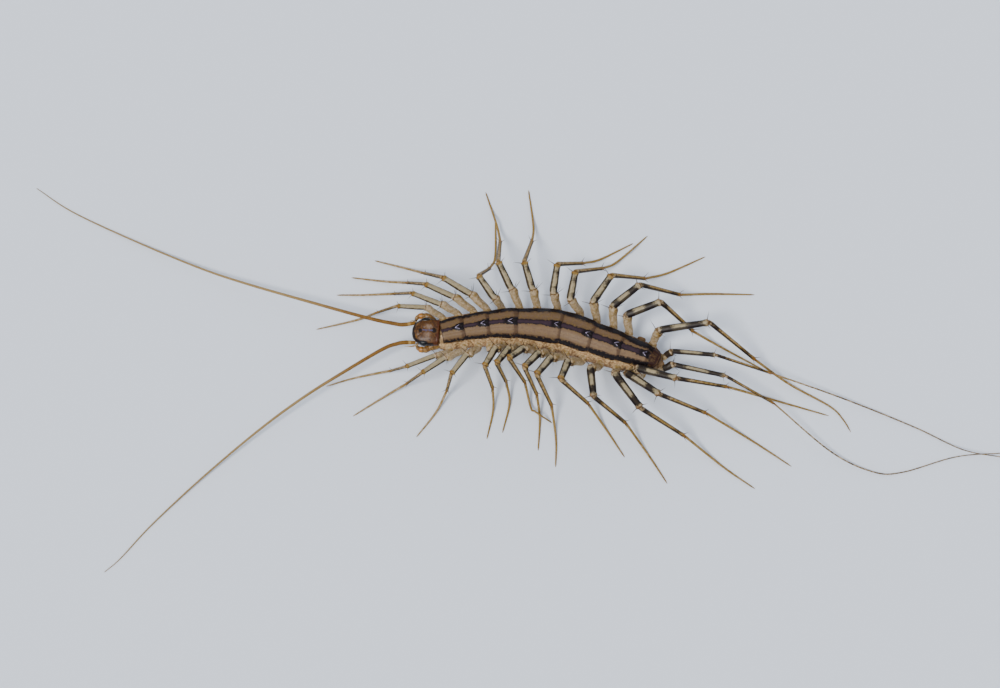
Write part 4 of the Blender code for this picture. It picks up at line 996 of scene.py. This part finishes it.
def leg_track(side, number):
    """Path of a leg with its place counted in lengths: joints by pixel and height, then the tarsus
    sinking to the floor by the square of what is left."""
    hip, outward, reach = hip_at(side, number)
    root = hip - outward * COXA_SUNK
    if (side, number) not in LEG_POSES:
        tip = hip + outward * STUMP_REACHES[side]
        return np.array((root, tip - outward * 0.3, tip)), np.array((0.0, 0.7, 0.97))
    pixels = LEG_POSES[side, number]
    heights = [np.interp(number, HEIGHT_PAIRS, row) for row in (FEMUR_HEIGHTS, KNEE_HEIGHTS, ANKLE_HEIGHTS)]
    joints = [root, hip + outward * reach, *at(pixels[:3], heights)]
    shares = np.linspace(0, 1, TARSUS_STEPS)[1:]
    radii = table_at(LEG_RADII, 4 + shares)
    height = (heights[2] - radii) * np.clip(1 - shares / TOUCHDOWN, 0, 1) ** 2
    arch_place, arch_height, arch_spread = ARCHES.get((side, number), (0, 0, 1))
    height += arch_height * bell(shares - arch_place, arch_spread) * np.clip((1 - shares) / 0.1, 0, 1)
    height = np.where(height < 0.004, 0, height)
    tarsus = at(read_along(pixels[2:], shares), height + radii * PRESS)
    return np.vstack((joints, tarsus)), np.concatenate((np.arange(5), 4 + shares))


def leg_masks(place, angles, side, number):
    """Markings of a leg by its place and the side it faces. Dark lines run along both edges. On the
    middle pairs two rounded dark patches lie on the femur's rear edge; on the hind ones they close to
    soft bands, and the shin has two more."""
    headward = np.cos(angles) * (1 if side == "R" else -1)
    place = place[:, None] + 0 * headward
    upper = np.sin(angles)
    rear = number >= HIND

    def within(low, high, soft=0.05):
        return np.minimum(ramp(place - low, soft), ramp(high - place, soft))

    def patch(middle, half, reach):
        return ramp(1 - np.hypot((place - middle) / half, (headward + 1) / reach), 0.75)

    thin = np.interp(number, (1, 4, 6, 11), (0.74, 0.68, 0.53, 0.52))
    both = ramp(np.abs(headward) - thin, 0.14)
    hind = ramp(-headward - thin + 0.15 * rear, 0.14)
    line = np.minimum(np.maximum(both, hind), np.maximum(within(*FEMUR_SPAN), within(*TIBIA_SPAN)))
    reach, low, high, half = (np.interp(number, PATCH_PAIRS, row) for row in
                              (PATCH_REACH, LOW_PATCH, HIGH_PATCH, HIGH_PATCH_HALF))
    shift = PATCH_SHIFTS.get((side, number), 0.0)
    dark = np.maximum(patch(2 + low + shift / 2, LOW_PATCH_HALF, reach),
                      patch(2 + high + shift, half, 1.5 * reach))
    dark = np.maximum(dark, patch(3.10, 0.13, 8) * (0.75 if rear else 0.5 * (number > 4)))
    dark = np.maximum(dark, 0.6 * patch(3.80, 0.13, 8) * rear)
    if number == 15:
        dark = np.maximum.reduce((dark, within(1.35, 1.88), 0.46 * soft_step(place, 4.0, 4.2)))
    dark = dark * np.interp(number, (4, 5, 10, 11), (0, 0.76, 0.76, 1))
    line = np.maximum(line, 0.42 * within(3.05, 3.93) * (number < 5))
    line = np.maximum(line, 0.30 * soft_step(place, 4.0, 4.1) * rear)
    spot = 0.75 * ramp(0.12 - np.hypot(1.7 * (place - 1.88), 0.35 * (headward + 0.8)), 0.08) * (number > 4)
    pale = np.minimum(within(2.04, 2.99 if rear else 2.93, 0.06), ramp(0.85 - np.abs(headward), 0.25))
    pale = np.maximum(pale, ramp(-upper - 0.2, 0.3) * (place < 3))
    knee = 0.22 if rear else 0.9
    warm = np.interp(place, (2.85, 2.93, 3.05, 3.5, 4.0, 4.1), (0.0, knee, 0.6, 0.75, 0.9, 0.4))
    warm = np.maximum(warm, 0.62 * within(1.55, 1.97, 0.12) * ramp(-headward + 0.2, 0.5) * (number > 2))
    warm = np.maximum(warm, 0.45 * ramp(1.0 - place, 0.1))
    rust = soft_step(place, 3.95, 4.12) * np.interp(number, (4, 5, 14, 15), (0.42, 0.85, 0.75, 0.3))
    amber = np.maximum(bell(place - 3.97, 0.05), 0.75 * bell(place - 2.965, 0.03) * ramp(headward - 0.1, 0.4))
    joints = np.maximum.reduce((bell(place - 2.0, 0.014), bell(place - 2.99, 0.012),
                                bell(place - 3.995, 0.010), 0.9 * bell(place - 1.0, 0.03), spot))
    return {"pale": pale, "warm": warm, "rust": rust, "amber": amber, "ring": joints, "line": line,
            "dark": dark}


# Leg chitin: thin, keeled and half clear, pale as horn, with dark pigment in bands and edge lines.
leg_material = chitin("leg_horn_chitin", "#b5a085", "#917c56",
                      (("pale", "#8a8064", 0.75, 0.35), ("warm", "#785b1c", 0.9, 0.45),
                       ("rust", "#80652a", 0.9, 0.45), ("amber", "#7a5018", 0.7, 0.35),
                       ("line", "#1a1108", 0.88, 0.25), ("dark", "#120809", 0.94, 0.3),
                       ("ring", "#4c2f10", 0.8, 0.3)),
                      fleck_size=0.30, pore_size=0.07, relief=0.012, rough=0.42, coat=0.06, glow=0.12,
                      fray=1.2, mirror=0.12)
generator = np.random.default_rng(15)
for side in "LR":
    for number in range(1, 16):
        joints, places = leg_track(side, number)
        path, run, place = resample(joints, LEG_STEP, KNEE_ROUNDING, places)
        size, prefemur_size = (np.interp(number, SIZE_PAIRS, row) for row in (LEG_SIZES, PREFEMUR_SIZES))
        tarsus_size = LAST_TARSUS if number == 15 else 0.95 + 0.05 * size
        radii = table_at(LEG_RADII, place)
        radii = radii * np.interp(place, (2.0, 2.05, 3.9, 4.1), (prefemur_size, size, size, tarsus_size))
        whip = soft_step(place, *WHIP_START)
        phase = run / TARSUS_RING % 1
        radii = radii * (1 + TARSUS_SWELL * whip * (np.sin(math.pi * phase) ** 2 - 0.5))
        path[:, 2] = np.where(place > WHIP_START[0], np.maximum(path[:, 2], radii * PRESS), path[:, 2])
        keel = (KEEL_DEPTH * (1 - whip) * soft_step(place, 0.9, 1.1))[:, None]
        rings, (ahead, sides, ups), angles = tube_rings(path, radii, LEG_COLUMNS, LEG_KEELS, keel, PRESS)
        headward = sides if side == "R" else -sides
        swell = PREFEMUR_LOBE * prefemur_size * bell(place - LOBE_PLACE[0], LOBE_PLACE[1])
        lobe = -headward * swell[:, None]
        rings += lobe[:, None, :]
        rings[..., 2] = np.maximum(rings[..., 2], 0.0)
        masks = leg_masks(place, angles, side, number)
        masks["ring"] = np.maximum(masks["ring"], 0.62 * (whip * bell(phase - 1.0, 0.25))[:, None])
        if (side, number) not in LEG_POSES:
            masks["line"] = np.maximum(masks["line"], ramp(place[:, None] - 0.93, 0.03))
            masks["ring"] = masks["ring"] + 1.0 * (side == "R")
            ring_piece(f"broken_coxa_{side}{number:02d}", rings, leg_material, masks, slot="leg",
                       replaced=(f"stump_{side}{number:02d}",))
            continue
        ring_piece(f"walking_leg_{side}{number:02d}", rings, leg_material, masks, slot="leg",
                   replaced=(f"leg_{side}{number:02d}",))
        strip = 2 + list(LEG_POSES).index((side, number))
        for joint, turn, long, lean in SPURS:
            row = int(np.searchsorted(place, joint - 0.04))
            turn = math.radians(turn)
            out = (math.sin(turn) * headward[row] + math.cos(turn) * ups[row])[None, :]
            grow(spurs, path[row] + lobe[row] + out * (radii[row] * 0.8), out + lean * ahead[row],
                 long * size, SPUR_RADIUS * size, strip, joint / 5, turn, sides=SPUR_SIDES,
                 levels=SPUR_LEVELS, bend=0.0)
        count = int(HAIRS_PER_MM * run[-1])
        rows = np.clip(np.searchsorted(place, generator.uniform(*HAIRY_SPAN, count)), 2, len(path) - 3)
        turns = generator.uniform(0, math.tau, count)
        out = np.cos(turns)[:, None] * sides[rows] + np.sin(turns)[:, None] * ups[rows]
        roots = path[rows] + lobe[rows] + out * (radii[rows] * 0.86)[:, None]
        lengths = generator.uniform(*HAIR_LENGTHS, count) * np.interp(place[rows], (3.9, 4.2), (1.0, 0.7))
        tips = roots[:, 2] + out[:, 2] * lengths
        clear = (roots[:, 2] > 0.05) & (tips > 0.01) & (tips < HIGHEST)
        grow(fine_hairs, roots[clear], (out * 0.7 + ahead[rows])[clear], lengths[clear],
             HAIR_RADIUS, strip, place[rows][clear] / 5, turns[clear])
coat_piece("leg_thorns", spurs, hair_material, "leg")
coat_piece("fine_hairs", fine_hairs, hair_material, "leg")


# Floor, lights and camera
# A plain pale sheet to stand on, one broad soft lamp from the left, a weak one from the right and a
# pale surround. The camera looks down at the animal from its left side.

FLOOR_LEVEL = 1200.0    # radius of the level part, how far the rim reaches beyond it, and its height
WALL_REACH = 500.0
WALL_HEIGHT = 900.0
WALL_RINGS = 40
INNER_RINGS = (100.0, 600.0)    # radii of two rings in the level part
FLOOR_COLUMNS = 96
SENSOR_WIDTH = 36.0
PHOTO_WIDTH = 1000      # in pixels


def studio_floor():
    """A level disc whose rim climbs along a quarter of an ellipse, so that no horizon shows: radius
    and height by rings, the middle closed by one face."""
    turn = np.linspace(0, math.pi / 2, WALL_RINGS)
    radius = np.concatenate((INNER_RINGS, FLOOR_LEVEL + WALL_REACH * np.sin(turn)))[:, None]
    height = np.concatenate(((0.0, 0.0), WALL_HEIGHT * (1 - np.cos(turn))))[:, None]
    angles = np.linspace(0, math.tau, FLOOR_COLUMNS, endpoint=False)[None, :]
    points = np.stack((radius * np.cos(angles), radius * np.sin(angles), height + 0 * angles), axis=-1)
    corner = np.arange(radius.size * FLOOR_COLUMNS).reshape(radius.size, FLOOR_COLUMNS)
    beside = np.roll(corner, -1, axis=1)
    faces = np.stack((corner[:-1], corner[1:], beside[1:], beside[:-1]), axis=-1).reshape(-1, 4).tolist()
    return (points.reshape(-1, 3) * MM).tolist(), [*faces, corner[0].tolist()]


floor_mesh = bpy.data.meshes.new("floor")
points, faces = studio_floor()
floor_mesh.from_pydata(points, [], faces)
floor_mesh.shade_smooth()
floor = put("floor", floor_mesh)
# Matt paint: even and without gloss, so that only soft shadows show on it.
floor_material = bpy.data.materials.new("floor_matt_paint")
floor_material.use_nodes = True
paint = floor_material.node_tree.nodes["Principled BSDF"].inputs
paint["Base Color"].default_value = colour("#d7dee9")
paint["Roughness"].default_value = 0.7
floor_mesh.materials.append(floor_material)


def lamp(name, place, strength, softness, tint):
    """A far soft lamp: the way it lies in, its strength, and its width in degrees seen from the floor."""
    light = bpy.data.lights.new(name, "SUN")
    light.energy = strength
    light.angle = math.radians(softness)
    light.color = tint
    made = put(name, light)
    made.location = np.array(place) * MM
    made.rotation_euler = made.location.to_track_quat("Z", "Y").to_euler()


lamp("key_lamp", (-170, -150, 380), 3.3, 20, (1.0, 0.98, 0.95))
lamp("fill_lamp", (220, 160, 260), 0.5, 60, (0.95, 0.97, 1.0))

world = bpy.data.worlds.new("studio")
world.use_nodes = True
world.node_tree.nodes["Background"].inputs["Color"].default_value = (0.90, 0.93, 1.0, 1)
world.node_tree.nodes["Background"].inputs["Strength"].default_value = 0.68
bpy.context.scene.world = world

camera_data = bpy.data.cameras.new("camera")
camera_data.sensor_width = SENSOR_WIDTH
camera_data.lens = VIEW_DISTANCE / MM_PER_PIXEL * SENSOR_WIDTH / PHOTO_WIDTH
camera_data.clip_start = 0.01
camera_data.clip_end = 10.0
camera = put("camera", camera_data)
camera.location = (-MODEL_CENTRE[0] * MM, (-VIEW_DISTANCE * math.cos(VIEW_ANGLE) - MODEL_CENTRE[1]) * MM,
                   VIEW_DISTANCE * math.sin(VIEW_ANGLE) * MM)
camera.rotation_euler = (math.pi / 2 - VIEW_ANGLE, 0, 0)
bpy.context.scene.camera = camera
